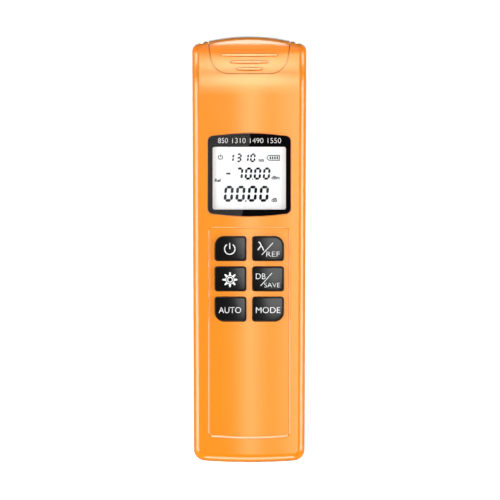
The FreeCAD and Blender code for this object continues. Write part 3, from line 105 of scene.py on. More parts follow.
class MeterColours(bpy.types.PropertyGroup):
    """Colours of the meter's finishes."""

    face: colour("Face", "Orange plastic of the face and the port cap", (0.80, 0.232, 0.002))
    face_worn: colour("Face edges", "The same plastic where edges are polished", (0.86, 0.30, 0.012))
    # Painted shade: the face end colour is a deeper orange laid in a band where the port end rolls over.
    face_end_shade: colour("Face end", "The same plastic where the port end rolls over", (0.80, 0.19, 0.001))
    # Painted highlight on the grip rib tops, and painted shade in a line round each rib.
    grip: colour("Grips", "Rubbed tops of the grip ribs on the port cap", (0.84, 0.60, 0.26))
    grip_line: colour("Grip lines", "Shaded line round each grip rib", (0.60, 0.12, 0.008))
    back: colour("Back", "Grey plastic of the rear shell and the battery door", (0.56, 0.60, 0.63))
    keys: colour("Keys", "Near-black plastic of the keys", (0.012, 0.012, 0.013))
    legend: colour("Legends", "White paint of the key legends and the wavelength row", (0.86, 0.87, 0.88))
    frame: colour("Lens frame", "Black print behind the lens", (0.0012, 0.0012, 0.0014))
    display: colour("Display", "Lit ground of the display", (0.78, 0.79, 0.80))
    ink: colour("Segments", "Dark segments of the display", (0.012, 0.013, 0.016))
    board: colour("Board", "Solder mask of the circuit board", (0.012, 0.13, 0.05))
    floor: colour("Floor", "Pale floor under the meter", (0.80, 0.80, 0.80))


class MeterSizes(bpy.types.PropertyGroup):
    """Sizes of the printed pieces and of the surface grain."""

    paint: length("Paint", "Thickness of the painted legends", 0.00003)
    sunk: length("Key in", "How far paint keys into the surface below it", 0.00002)
    stroke: length("Stroke", "Width of the lines in the key symbols", 0.00052)
    letter: length("Letters", "Height of the largest key letters", 0.0025)
    scale_row: length("Wavelength row", "Height of the figures above the display", 0.0021)
    segment: length("Segment", "Width of the segments in the largest figures", 0.00112)
    grain: length("Grain", "Size of the moulded grain", 0.00016)
    edge: length("Edge", "Width of the polished band along edges", 0.00035)


class MeterStage(bpy.types.PropertyGroup):
    """Camera, lamps and floor."""

    view_width: length("View width", "Width of floor that the camera sees", 0.2068)
    lens: FloatProperty(
        name="Focal length", description="Focal length of the camera", default=1200.0, unit="CAMERA",
        min=20.0,
    )
    sheen: lamp_level("Sheen", "Brightness of the soft panel overhead", 3.5)
    sheen_tint: colour("Sheen tint", "Colour of the soft panel overhead", (1.0, 1.0, 0.70))
    strip: lamp_level("Strips", "Brightness of the lamps round the meter", 6.5)
    fill: lamp_level("Fill", "Brightness of the two broad lamps above", 2.7)
    key_shine: lamp_level("Key shine", "Brightness of the lamp that the keys reflect", 4.0)
    lens_shine: lamp_level("Lens shine", "Brightness of the panel that the lens reflects", 0.9)
    room: share("Room light", "Strength of the even light all round", 0.05)
    floor_size: length("Floor size", "Side of the square floor", 3.0)


# ------------------------------------------------------------------ node graphs
class Graph:
    """A node tree with short ways to add nodes and join them."""

    def __init__(self, tree):
        self.tree = tree

    def add(self, kind, settings=None, **inputs):
        made = self.tree.nodes.new("ShaderNode" + kind)
        made.location = (len(self.tree.nodes) % 8 * 220, -(len(self.tree.nodes) // 8) * 260)
        for key, value in (settings or {}).items():
            setattr(made, key, value)
        for key, value in inputs.items():
            self.feed(made, key, value)
        return made

    def feed(self, made, key, value):
        """Sets an input, named by its place or by its label with _ for a space."""
        socket = made.inputs[int(key[1:])] if key[1:].isdigit() else made.inputs[key.replace("_", " ")]
        if isinstance(value, bpy.types.NodeSocket):
            self.tree.links.new(value, socket)
        elif isinstance(value, (tuple, list)) and len(value) == 3 and socket.type == "RGBA":
            socket.default_value = (*value, 1.0)
        else:
            socket.default_value = value

    def sum(self, operation, *values):
        """A Math node's result."""
        made = self.add("Math", {"operation": operation})
        for place, value in enumerate(values):
            self.feed(made, f"i{place}", value)
        return made.outputs[0]

    def spread(self, value, low, high, to_low=0.0, to_high=1.0):
        """A value from low to high, mapped to another range and held inside it."""
        made = self.add("MapRange", {"clamp": True})
        for place, number in enumerate((value, low, high, to_low, to_high)):
            self.feed(made, f"i{place}", number)
        return made.outputs[0]

    def blend(self, share_of_second, first, second):
        """A mix of two colours."""
        made = self.add("Mix", {"data_type": "RGBA"})
        self.feed(made, "i0", share_of_second)
        self.feed(made, "i6", first)
        self.feed(made, "i7", second)
        return made.outputs[2]


def effect(name, inputs, outputs):
    """An empty node group with named sockets: its graph, its inputs and its output node."""
    tree = bpy.data.node_groups.new(name, "ShaderNodeTree")
    for label, default in inputs.items():
        socket = tree.interface.new_socket(label, in_out="INPUT", socket_type="NodeSocketFloat")
        socket.default_value = default
    for label, kind in outputs.items():
        tree.interface.new_socket(label, in_out="OUTPUT", socket_type="NodeSocket" + kind)
    source = tree.nodes.new("NodeGroupInput")
    return Graph(tree), source.outputs, tree.nodes.new("NodeGroupOutput")


def make_moulded_grain():
    """Fine spark-eroded grain of a mould: a height, and a tone that follows it."""
    graph, given, out = effect("moulded_grain", {"Size": 0.0002}, {"Height": "Float", "Tone": "Float"})
    place = graph.add("TexCoord").outputs["Object"]
    scale = graph.sum("DIVIDE", 1.0, given["Size"])
    noise = graph.add("TexNoise", Vector=place, Scale=scale, Detail=2.0, Roughness=0.6)
    cells = graph.add("TexVoronoi", {"feature": "SMOOTH_F1"}, Vector=place, Scale=scale)
    both = graph.sum("MULTIPLY_ADD", cells.outputs["Distance"], 0.5, noise.outputs[0])
    graph.feed(out, "Height", both)
    graph.feed(out, "Tone", graph.spread(both, 0.3, 1.1))
    return graph.tree


def make_edge_polish():
    """Where an edge has been rubbed smooth: a mask, broken up by a slow noise."""
    graph, given, out = effect("edge_polish", {"Width": 0.0004, "Amount": 1.0}, {"Mask": "Float"})
    rounded = graph.add("Bevel", {"samples": 4}, Radius=given["Width"]).outputs[0]
    plain = graph.add("NewGeometry").outputs["Normal"]
    same = graph.add("VectorMath", {"operation": "DOT_PRODUCT"}, i0=rounded, i1=plain).outputs["Value"]
    edge = graph.spread(same, 0.995, 0.86)
    place = graph.add("TexCoord").outputs["Object"]
    patches = graph.add("TexNoise", Vector=place, Scale=160.0, Detail=3.0).outputs[0]
    broken = graph.sum("MULTIPLY", edge, graph.spread(patches, 0.35, 0.65, 0.45, 1.0))
    graph.feed(out, "Mask", graph.sum("MULTIPLY", broken, given["Amount"]))
    return graph.tree


def make_slow_tone():
    """Slow, faint variation of tone over a large surface, as handling leaves it."""
    graph, given, out = effect("slow_tone", {"Size": 0.03, "Low": 0.0, "High": 1.0}, {"Value": "Float"})
    place = graph.add("TexCoord").outputs["Object"]
    scale = graph.sum("DIVIDE", 1.0, given["Size"])
    noise = graph.add("TexNoise", Vector=place, Scale=scale, Detail=4.0, Roughness=0.55).outputs[0]
    graph.feed(out, "Value", graph.spread(noise, 0.32, 0.68, given["Low"], given["High"]))
    return graph.tree


def make_matt_band():
    """A band across the length: a mask along Y with soft edges."""
    graph, given, out = effect("shade_and_matt_band", {"From": 0.0, "To": 1.0, "Soft": 0.001}, {"Mask": "Float"})
    along = graph.add("SeparateXYZ", i0=graph.add("TexCoord").outputs["Object"]).outputs["Y"]

    def step(label):
        low = graph.sum("SUBTRACT", given[label], given["Soft"])
        return graph.spread(along, low, graph.sum("ADD", given[label], given["Soft"]))

    graph.feed(out, "Mask", graph.sum("SUBTRACT", step("From"), step("To")))
    return graph.tree


def make_key_crown():
    """The slight crown of a key's top, as a height about its own middle."""
    graph, given, out = effect("key_crown", {"Middle X": 0.0, "Middle Y": 0.0}, {"Height": "Float"})
    place = graph.add("SeparateXYZ", i0=graph.add("TexCoord").outputs["Object"]).outputs
    x = graph.sum("SUBTRACT", place["X"], given["Middle X"])
    y = graph.sum("SUBTRACT", place["Y"], given["Middle Y"])
    away = graph.sum("MULTIPLY_ADD", x, x, graph.sum("MULTIPLY", y, y))
    graph.feed(out, "Height", graph.sum("MULTIPLY", away, -1.0))
    return graph.tree


EFFECT_MAKERS = {
    "grain": make_moulded_grain,
    "polish": make_edge_polish,
    "tone": make_slow_tone,
    "band": make_matt_band,
    "crown": make_key_crown,
}
EFFECTS = {}


def use(graph, name, **inputs):
    """A shared effect's node, placed in a material with its own values."""
    if name not in EFFECTS:
        EFFECTS[name] = EFFECT_MAKERS[name]()
    made = graph.add("Group", {"node_tree": EFFECTS[name]})
    for key, value in inputs.items():
        graph.feed(made, key, value)
    return made.outputs


def material(name):
    """A new node material: its graph and its Principled shader."""
    made = bpy.data.materials.new(name)
    made.use_nodes = True
    graph = Graph(made.node_tree)
    return made, graph, made.node_tree.nodes["Principled BSDF"]


def set_plain(shader, **values):
    """Constant values, set straight on the shader's own sockets."""
    for key, value in values.items():
        shader.inputs[key.replace("_", " ")].default_value = value


def scaled(base, factor):
    """A colour made lighter or darker."""
    return tuple(channel * factor for channel in base)


def bump(graph, height, strength, distance):
    """A normal tilted by a height."""
    return graph.add("Bump", Strength=strength, Distance=distance, Height=height).outputs[0]


def moulded(name, base, worn, roughness, grain, depth, sizes, spread=0.08, polish=0.6, coat=0.0, shine=0.5):
    """Moulded plastic: fine grain, polished edges and a faint unevenness."""
    made, graph, shader = material(name)
    texture = use(graph, "grain", Size=grain)
    edge = use(graph, "polish", Width=sizes.edge, Amount=polish)["Mask"]
    slow = use(graph, "tone", Size=0.035, Low=0.0, High=1.0)["Value"]
    ground = graph.blend(slow, tuple(base), scaled(base, 1.0 - spread))
    speckled = graph.blend(graph.sum("MULTIPLY", texture["Tone"], spread), ground, scaled(base, 0.7))
    graph.feed(shader, "Base_Color", graph.blend(edge, speckled, tuple(worn)))
    rough = graph.sum("MULTIPLY_ADD", slow, 0.06, roughness)
    graph.feed(shader, "Roughness", graph.sum("MULTIPLY_ADD", edge, -0.12, rough))
    graph.feed(shader, "Normal", bump(graph, texture["Height"], 0.35, depth))
    set_plain(shader, IOR=PLASTIC_IOR, Coat_Weight=coat, Coat_Roughness=0.09, Specular_IOR_Level=shine)
    return made


def paint_port_end_shade(made, deep):
    """Paints shade: deepens the colour in a band across the port end of a finish, and takes the gloss off
    there.
    """
    graph, shader = Graph(made.node_tree), made.node_tree.nodes["Principled BSDF"]
    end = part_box("cap_cover")[1].y
    first, last, soft = 0.0066, 0.0031, 0.0006
    mask = use(graph, "band", From=end - first, To=end - last, Soft=soft)["Mask"]
    below = shader.inputs["Base Color"].links[0].from_socket
    # Painted shade: the band's deeper colour.
    graph.feed(shader, "Base_Color", graph.blend(mask, below, tuple(deep)))
    graph.feed(shader, "Coat_Weight", graph.sum("SUBTRACT", 1.0, mask))


def metal(name, base, roughness, grain=0.0002, stretch=(1.0, 1.0, 1.0), depth=0.000004):
    """Plated or plain metal with fine drawn marks and slow tarnish."""
    made, graph, shader = material(name)
    place = graph.add("Mapping", Vector=graph.add("TexCoord").outputs["Object"], Scale=stretch).outputs[0]
    marks = graph.add("TexNoise", Vector=place, Scale=1.0 / grain, Detail=3.0).outputs[0]
    slow = use(graph, "tone", Size=0.004, Low=0.0, High=1.0)["Value"]
    graph.feed(shader, "Base_Color", graph.blend(slow, tuple(base), scaled(base, 0.72)))
    graph.feed(shader, "Roughness", graph.spread(marks, 0.3, 0.7, roughness * 0.75, roughness * 1.35))
    graph.feed(shader, "Normal", bump(graph, marks, 0.3, depth))
    set_plain(shader, Metallic=1.0)
    return made


def painted(name, base, roughness, glow=0.0, shine=0.5, uneven=0.12):
    """Screen-printed paint with a slightly uneven film."""
    made, graph, shader = material(name)
    slow = use(graph, "tone", Size=0.0012, Low=0.0, High=1.0)["Value"]
    film = use(graph, "grain", Size=0.00012)
    paint = graph.blend(slow, tuple(base), scaled(base, 1.0 - uneven))
    graph.feed(shader, "Base_Color", paint)
    graph.feed(shader, "Roughness", graph.sum("MULTIPLY_ADD", film["Tone"], 0.12, roughness))
    graph.feed(shader, "Normal", bump(graph, film["Height"], 0.15, 0.00001))
    set_plain(shader, Specular_IOR_Level=shine)
    if glow:
        graph.feed(shader, "Emission_Color", paint)
        set_plain(shader, Emission_Strength=glow)
    return made


def make_lens_glass(sizes):
    """Clear moulded window. Shadow rays pass straight through it, so what lies below is lit."""
    made, graph, shader = material("lens_glass")
    film = use(graph, "tone", Size=0.006, Low=0.0, High=0.004)["Value"]
    edge = use(graph, "polish", Width=sizes.edge, Amount=0.5)["Mask"]
    graph.feed(shader, "Roughness", graph.sum("MULTIPLY_ADD", edge, 0.05, film))
    set_plain(shader, Base_Color=(1.0, 1.0, 1.0, 1.0), IOR=PLASTIC_IOR)
    set_plain(shader, Metallic=0.0, Transmission_Weight=1.0)
    path = graph.add("LightPath").outputs
    passed = graph.sum("MAXIMUM", path["Is Shadow Ray"], path["Is Diffuse Ray"])
    open_way = graph.add("BsdfTransparent").outputs[0]
    both = graph.add("MixShader", i0=passed, i1=shader.outputs[0], i2=open_way).outputs[0]
    graph.feed(made.node_tree.nodes["Material Output"], "Surface", both)
    return made


def make_board_mask(colours):
    """Green solder mask over copper tracks."""
    made, graph, shader = material("solder_mask")
    place = graph.add("TexCoord").outputs["Object"]
    tracks = graph.add(
        "TexBrick", {"offset": 0.35, "squash": 1.6}, Vector=place, Scale=260.0,
        Mortar_Size=0.03, Brick_Width=0.9, Row_Height=0.3,
    ).outputs["Fac"]
    slow = use(graph, "tone", Size=0.01, Low=0.0, High=1.0)["Value"]
    ground = graph.blend(tracks, tuple(colours.board), scaled(colours.board, 1.7))
    patched = graph.blend(graph.sum("MULTIPLY", slow, 0.3), ground, (0.01, 0.07, 0.03))
    graph.feed(shader, "Base_Color", patched)
    graph.feed(shader, "Roughness", graph.spread(slow, 0.0, 1.0, 0.25, 0.38))
    graph.feed(shader, "Normal", bump(graph, tracks, 0.4, 0.00003))
    return made


def make_cell_jacket():
    """A dark printed sleeve with a copper-coloured band at the raised contact."""
    made, graph, shader = material("cell_sleeve")
    end, wide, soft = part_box("battery_cell_1")[1].y, 0.012, 0.0002
    along = graph.add("SeparateXYZ", i0=graph.add("TexCoord").outputs["Object"]).outputs["Y"]
    band = graph.spread(along, end - wide - soft, end - wide + soft)
    shine = use(graph, "tone", Size=0.008, Low=0.0, High=1.0)["Value"]
    sleeve = graph.blend(shine, (0.02, 0.024, 0.03), (0.03, 0.035, 0.045))
    graph.feed(shader, "Base_Color", graph.blend(band, sleeve, (0.55, 0.23, 0.09)))
    graph.feed(shader, "Metallic", graph.sum("MULTIPLY", band, 0.8))
    graph.feed(shader, "Roughness", graph.spread(shine, 0.0, 1.0, 0.24, 0.34))
    return made


def make_layered_strip():
    """Elastomer strip with its thin conducting layers."""
    made, graph, shader = material("layered_strip")
    layers_per_metre = 4000.0
    along = graph.add("SeparateXYZ", i0=graph.add("TexCoord").outputs["Object"]).outputs["X"]
    layers = graph.sum("PINGPONG", graph.sum("MULTIPLY", along, layers_per_metre), 1.0)
    graph.feed(shader, "Base_Color", graph.blend(layers, (0.30, 0.08, 0.07), (0.05, 0.04, 0.04)))
    graph.feed(shader, "Roughness", graph.spread(layers, 0.0, 1.0, 0.55, 0.7))
    return made


def make_floor_paper(colours):
    """Pale seamless paper, seen only from above."""
    made, graph, shader = material("pale_paper")
    slow = use(graph, "tone", Size=0.2, Low=0.0, High=1.0)["Value"]
    tint = graph.blend(slow, tuple(colours.floor), scaled(colours.floor, 0.99))
    graph.feed(shader, "Base_Color", tint)
    graph.feed(shader, "Emission_Color", tint)
    set_plain(shader, Roughness=0.9, Emission_Strength=0.38)
    behind = graph.add("NewGeometry").outputs["Backfacing"]
    clear = graph.add("BsdfTransparent").outputs[0]
    both = graph.add("MixShader", i0=behind, i1=shader.outputs[0], i2=clear).outputs[0]
    graph.feed(made.node_tree.nodes["Material Output"], "Surface", both)
    return made


def key_names():
    """The keys' nodes, in order of name."""
    return sorted(name for name in frame["nodes"] if name.endswith("_key"))


def finish_nodes(made, *names):
    """Gives a finish to CAD nodes by their material slots."""
    for name in names:
        node = frame["nodes"][name]
        node.data.materials.clear()
        node.data.materials.append(made)


# ------------------------------------------------------------------ printed shapes
def points_round(middle, radius, angles):
    """Points at the given angles of a circle."""
    return [(middle[0] + radius * math.cos(a), middle[1] + radius * math.sin(a)) for a in angles]


class Artwork:
    """Flat shapes in millimetres, gathered and then laid on a surface as a thin film."""

    def __init__(self):
        self.flat = bmesh.new()

    def area(self, outline, *holes):
        """A flat area inside an outline, less its holes."""
        edges = []
        for loop in (outline, *holes):
            corners = [self.flat.verts.new((x, y, 0.0)) for x, y in loop]
            edges += [self.flat.edges.new((a, b)) for a, b in zip(corners, corners[1:] + corners[:1])]
        bmesh.ops.triangle_fill(self.flat, edges=edges, use_beauty=True)

    def line(self, start, end, width):
        """A straight line with square ends."""
        along = (Vector(end) - Vector(start)).normalized() * width / 2
        side = Vector((-along.y, along.x))
        a, b = Vector(start), Vector(end)
        self.area([a - side, b - side, b + side, a + side])

    def ring(self, middle, outer, inner, start=0.0, turn=math.tau, steps=48):
        """A ring, or a part of one, with the angles in radians."""
        whole = turn >= math.tau
        angles = [start + turn * i / steps for i in range(steps if whole else steps + 1)]
        rims = [points_round(middle, radius, angles) for radius in (outer, inner)]
        if whole:
            self.area(*rims)
        else:
            self.area(rims[0] + rims[1][::-1])

    def words(self, text, left, right, low, high, weight=0.0):
        """Lettering stretched to fill the given box."""
        curve = bpy.data.curves.new(text, "FONT")
        curve.body = text
        curve.size = 1.0
        curve.offset = weight
        curve.resolution_u = 4
        holder = bpy.data.objects.new(text, curve)
        bpy.context.scene.collection.objects.link(holder)
        flat = bpy.data.meshes.new_from_object(holder.evaluated_get(bpy.context.evaluated_depsgraph_get()))
        xs = [v.co.x for v in flat.vertices]
        ys = [v.co.y for v in flat.vertices]
        across = (right - left) / (max(xs) - min(xs))
        up = (high - low) / (max(ys) - min(ys))
        for v in flat.vertices:
            v.co = (left + (v.co.x - min(xs)) * across, low + (v.co.y - min(ys)) * up, 0.0)
        self.flat.from_mesh(flat)
        bpy.data.objects.remove(holder)
        bpy.data.curves.remove(curve)
        bpy.data.meshes.remove(flat)

    def lay(self, name, surface, below, above, finish, body, slot):
        """Makes the film: each shape reaches from below to above the surface at its place."""
        film, weld = self.flat, 0.0005
        bmesh.ops.remove_doubles(film, verts=film.verts, dist=weld)
        base = film.faces[:]
        raised = bmesh.ops.extrude_face_region(film, geom=base, use_keep_orig=True)["geom"]
        tops = {v for v in raised if isinstance(v, bmesh.types.BMVert)}
        for v in film.verts:
            ground = surface(v.co.x * MM, v.co.y * MM)
            v.co = (v.co.x * MM, v.co.y * MM, ground + (above if v in tops else -below))
        bmesh.ops.recalc_face_normals(film, faces=film.faces)
        mesh = bpy.data.meshes.new(name)
        film.to_mesh(mesh)
        film.free()
        mesh.materials.append(finish)
        piece = bpy.data.objects.new(name, mesh)
        bpy.context.scene.collection.objects.link(piece)
        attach(piece, body)


def level(height):
    """A flat surface at one height."""
    return lambda x, y: height


def top_of(node):
    """The upper surface of a CAD node, as a height for each place."""
    mesh = frame["nodes"][node].data
    tree = BVHTree.FromPolygons([v.co for v in mesh.vertices], [p.vertices for p in mesh.polygons])
    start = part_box(node)[1].z + 10 * MM
    down = Vector((0.0, 0.0, -1.0))
    return lambda x, y: tree.ray_cast(Vector((x, y, start)), down)[0].z


SEGMENTS = {"0": "abcdef", "1": "bc", "3": "abcdg", "7": "abc"}


def figure(art, digit, left, low, width, height, stroke, lean=0.09):
    """One seven-segment figure, leaning a little to the right."""
    half, gap, tip = stroke / 2, stroke * 0.15, stroke * 0.36
    right, middle, high = left + width, low + height / 2, low + height

    def bar(a, b):
        """One segment lying along its own axis, from a to b."""
        return [(a, 0.0), (a + tip, half), (b - tip, half), (b, 0.0), (b - tip, -half), (a + tip, -half)]

    def across(y):
        return [(along, y + off) for along, off in bar(left + half + gap, right - half - gap)]

    def up(x, a, b):
        return [(x + off, along) for along, off in bar(a + gap, b - gap)]

    shapes = {
        "a": across(high - half), "g": across(middle), "d": across(low + half),
        "f": up(left + half, middle, high - half), "b": up(right - half, middle, high - half),
        "e": up(left + half, low + half, middle), "c": up(right - half, low + half, middle),
    }
    for key in SEGMENTS[digit]:
        art.area([(x + (y - low) * lean, y) for x, y in shapes[key]])


# The display's drawing, in millimetres of the part's own X and Y.
# Rows of figures: digits, their left edges, low edge, width, height and share of the stroke.
FIGURE_ROWS = (
    ("1310", (-8.65, -5.5, -2.55, 0.2), 35.85, 2.2, 3.64, 0.62),
    ("7000", (-5.75, -2.03, 1.69, 5.41), 28.61, 2.95, 5.09, 0.82),
    ("0000", (-10.62, -5.78, -0.94, 3.9), 19.52, 3.75, 6.62, 1.0),
)
# Small words: text, left, right, low edge, high edge and weight.
UNITS = (
    ("nm", 3.9, 6.0, 36.0, 37.1, 0.035),
    ("dBm", 9.1, 12.4, 28.75, 30.25, 0.03),
    ("Ref", -14.2, -11.6, 27.7, 29.05, 0.03),
    ("dB", 9.1, 11.4, 19.45, 21.1, 0.03),
)
# Decimal points: left, right, Y and width of the line. The minus sign's width is a share of the stroke.
POINTS = ((1.18, 1.62, 28.86, 0.44), (-1.72, -1.16, 19.85, 0.56))
MINUS_LEFT, MINUS_RIGHT, MINUS_Y, MINUS_SHARE = -9.45, -7.75, 31.15, 0.62


def draw_display(stroke):
    """Power sign, wavelength, battery level, reading and reference of the display."""
    art = Artwork()
    for digits, lefts, low, width, height, share_of_stroke in FIGURE_ROWS:
        for digit, left in zip(digits, lefts):
            figure(art, digit, left, low, width, height, stroke * share_of_stroke)
    for unit in UNITS:
        art.words(*unit)
    for left, right, y, width in POINTS:
        art.line((left, y), (right, y), width)
    art.line((MINUS_LEFT, MINUS_Y), (MINUS_RIGHT, MINUS_Y), stroke * MINUS_SHARE)
    power_sign(art, (-11.85, 37.95), 1.04, 0.36)
    battery_sign(art, 7.95, 12.5, 36.5, 38.85)
    return art


def battery_sign(art, left, right, low, high, edge=0.36, bars=4):
    """A battery on its side with a pointed end, and its full bars."""
    nub, thin, shoulder, inner_shoulder = left - 0.8, 0.12, 0.75, 0.85
    outer = [
        (left, low), (right, low), (right, high), (left, high),
        (nub, high - shoulder), (nub, low + shoulder),
    ]
    inner = [
        (left + thin, low + edge), (right - edge, low + edge), (right - edge, high - edge),
        (left + thin, high - edge), (nub + edge, high - inner_shoulder), (nub + edge, low + inner_shoulder),
    ]
    art.area(outer, inner)
    first, pitch, wide, inset = 0.7, 0.95, 0.62, 0.62
    for i in range(bars):
        x = left + first + pitch * i
        art.line((x, low + inset), (x, high - inset), wide)


def power_sign(art, middle, radius, stroke):
    """An open ring with a bar in its gap."""
    opening = math.radians(34)
    first, turn = math.pi / 2 + opening, math.tau - 2 * opening
    art.ring(middle, radius, radius - stroke, first, turn, steps=40)
    art.line(middle, (middle[0], middle[1] + radius * 1.08), stroke)


def lamp_sign(art, middle, radius, rays=8, steps=8, hole_steps=40):
    """A lamp: short round-ended rays on a ring, with a smaller ring inside it."""
    rim, tip, root = radius * 0.58, radius * 0.11, radius * 0.15
    foot = rim * 0.98
    outline = []
    for i in range(rays):
        turn = math.tau * i / rays
        along = Vector((math.cos(turn), math.sin(turn)))
        side = Vector((-along.y, along.x))
        outline.append(along * foot - side * root)
        for k in range(steps + 1):
            bend = math.pi * (k / steps - 0.5)
            outline.append(along * (radius - tip + tip * math.cos(bend)) + side * tip * math.sin(bend))
        outline.append(along * foot + side * root)
        between = turn + math.pi / rays
        outline.append(Vector((math.cos(between), math.sin(between))) * rim)
    angles = [math.tau * i / hole_steps for i in range(hole_steps)]
    hole = points_round(middle, radius * 0.5, angles)
    art.area([Vector(middle) + point for point in outline], hole)
    art.ring(middle, radius * 0.38, radius * 0.26)


def bar_outline(y, long, wide, bow, steps=20, end_steps=6):
    """A bar along X with bowed long edges and round ends."""
    end = wide / 2 - bow
    reach = long / 2 - end
    outline = []
    for side in (1, -1):
        for i in range(steps + 1):
            across = side * (2 * i / steps - 1)
            outline.append((-reach * across, y + side * (end + bow * (1 - across * across))))
        for i in range(1, end_steps):
            turn = math.pi * i / end_steps
            outline.append((-side * (reach + end * math.sin(turn)), y + side * end * math.cos(turn)))
    return outline


# Key legends, in millimetres from the key's middle.
# Lines: start, end and share of the stroke.
LEGEND_LINES = {
    "wavelength_key": (
        ((-3.95, 2.62), (-3.5, 2.62), 0.7),
        ((-3.6, 2.8), (-1.75, -0.75), 0.72),
        ((-2.85, 1.25), (-4.2, -0.6), 0.72),
        ((-2.6, -2.6), (2.05, 2.35), 0.54),
    ),
    "save_key": (((-3.0, -2.85), (1.65, 2.4), 0.54),),
}
# Words: text, left, right, low edge, share of the letter height and weight.
LEGEND_WORDS = {
    "wavelength_key": (("REF", -0.7, 4.85, -3.3, 0.8, -0.013),),
    "save_key": (("DB", -5.0, -1.0, -0.1, 0.92, -0.01), ("SAVE", -1.55, 4.95, -3.5, 0.74, -0.013)),
    "auto_key": (("AUTO", -4.85, 4.35, -1.65, 1.0, -0.006),),
    "mode_key": (("MODE", -5.0, 5.05, -1.65, 1.0, -0.006),),
}


def legend_shapes(key, sizes):
    """The legend of one key, drawn in millimetres about the part's own axes."""
    art = Artwork()
    tall, stroke = sizes.letter / MM, sizes.stroke / MM
    low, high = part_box(key)
    x, y = (low.x + high.x) / 2 / MM, (low.y + high.y) / 2 / MM
    if key == "power_key":
        power_sign(art, (x - 0.3, y - 0.2), 2.35, stroke * 0.74)
    if key == "backlight_key":
        lamp_sign(art, (x - 0.2, y - 0.35), 3.1)
    for start, end, share_of_stroke in LEGEND_LINES.get(key, ()):
        art.line((x + start[0], y + start[1]), (x + end[0], y + end[1]), stroke * share_of_stroke)
    for text, left, right, foot, share_of_height, weight in LEGEND_WORDS.get(key, ()):
        top = y + foot + tall * share_of_height
        art.words(text, x + left, x + right, y + foot, top, weight)
    return art


# ------------------------------------------------------------------ one operator a group of pieces
class METER_OT_housing(bpy.types.Operator):
    """Finishes the shells, the port cap, the battery door and their fasteners"""

    bl_idname = "meter.housing"
    bl_label = "Housing"

    def execute(self, context):
        colours, sizes = context.scene.meter_colours, context.scene.meter_sizes
        orange = moulded(
            "orange_plastic", colours.face, colours.face_worn, 0.32, sizes.grain * 0.8, 0.000004, sizes,
            spread=0.05, polish=0.4, coat=1.0, shine=0.25,
        )
        # Painted shade in a band across the rolled port end, with the gloss taken off there.
        paint_port_end_shade(orange, colours.face_end_shade)
        finish_nodes(orange, "front_shell", "cap_cover")
        worn = scaled(colours.back, 1.3)
        grey = moulded("grey_plastic", colours.back, worn, 0.42, sizes.grain, 0.00001, sizes)
        finish_nodes(grey, "rear_shell", "battery_door", "cap_liner")
        steel = metal("bright_steel", (0.58, 0.58, 0.60), 0.3, stretch=(1.0, 1.0, 6.0))
        finish_nodes(metal("dull_pin", (0.55, 0.56, 0.58), 0.5), "hinge_pin")
        finish_nodes(steel, "shell_screws", "board_screws", "adapter_screws")
        return {"FINISHED"}


class METER_OT_cap_liner(bpy.types.Operator):
    """Trims the ends of the cap liner's hinge barrel to the curve of the port end"""

    bl_idname = "meter.cap_liner"
    bl_label = "Cap liner"

    def execute(self, context):
        node = frame["nodes"]["cap_liner"]
        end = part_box("cap_liner")[1].y
        mesh = node.data.copy()
        for v in mesh.vertices:
            v.co.y = min(v.co.y, end - v.co.x ** 2 / (2 * END_RADIUS))
        liner = bpy.data.objects.new("trimmed_cap_liner", mesh)
        context.scene.collection.objects.link(liner)
        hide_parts("cap_liner")
        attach(liner, "cap")
        return {"FINISHED"}


# Grip ribs of the port cap, in millimetres: distance from the port end, and length.
GRIP_RIBS = ((7.39, 23.9), (10.24, 15.7), (13.09, 10.9))
RIB_WIDTH, RIB_BOW = 1.53, 0.25
# Shape of the painted highlight on each rib's top.
HIGHLIGHT_WIDTH, HIGHLIGHT_BOW, HIGHLIGHT_SHORTER, HIGHLIGHT_SHIFT = 0.82, 0.14, 0.8, 0.05


class METER_OT_grips(bpy.types.Operator):
    """Paints a highlight on the tops of the three grip ribs on the port cap, and shade in lines round them
    """

    bl_idname = "meter.grips"
    bl_label = "Grip ribs"

    def execute(self, context):
        colours, sizes = context.scene.meter_colours, context.scene.meter_sizes
        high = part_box("cap_cover")[1].y / MM
        # Painted highlight on each rib's top, ringed by a line of painted shade.
        tops, lines = Artwork(), Artwork()
        for from_end, long in GRIP_RIBS:
            y = high - from_end
            outer = bar_outline(y, long, RIB_WIDTH, RIB_BOW)
            inner = bar_outline(y + HIGHLIGHT_SHIFT, long - HIGHLIGHT_SHORTER, HIGHLIGHT_WIDTH, HIGHLIGHT_BOW)
            lines.area(outer, inner)
            tops.area(inner)
        surface = top_of("cap_cover")
        for name, art, tone in (
            ("grip_tops", tops, colours.grip),
            ("grip_lines", lines, colours.grip_line),
        ):
            finish = painted(name + "_finish", tone, 0.4, shine=0.1)
            art.lay(name, surface, sizes.sunk, sizes.sunk, finish, "cap", "orange_plastic")
        return {"FINISHED"}


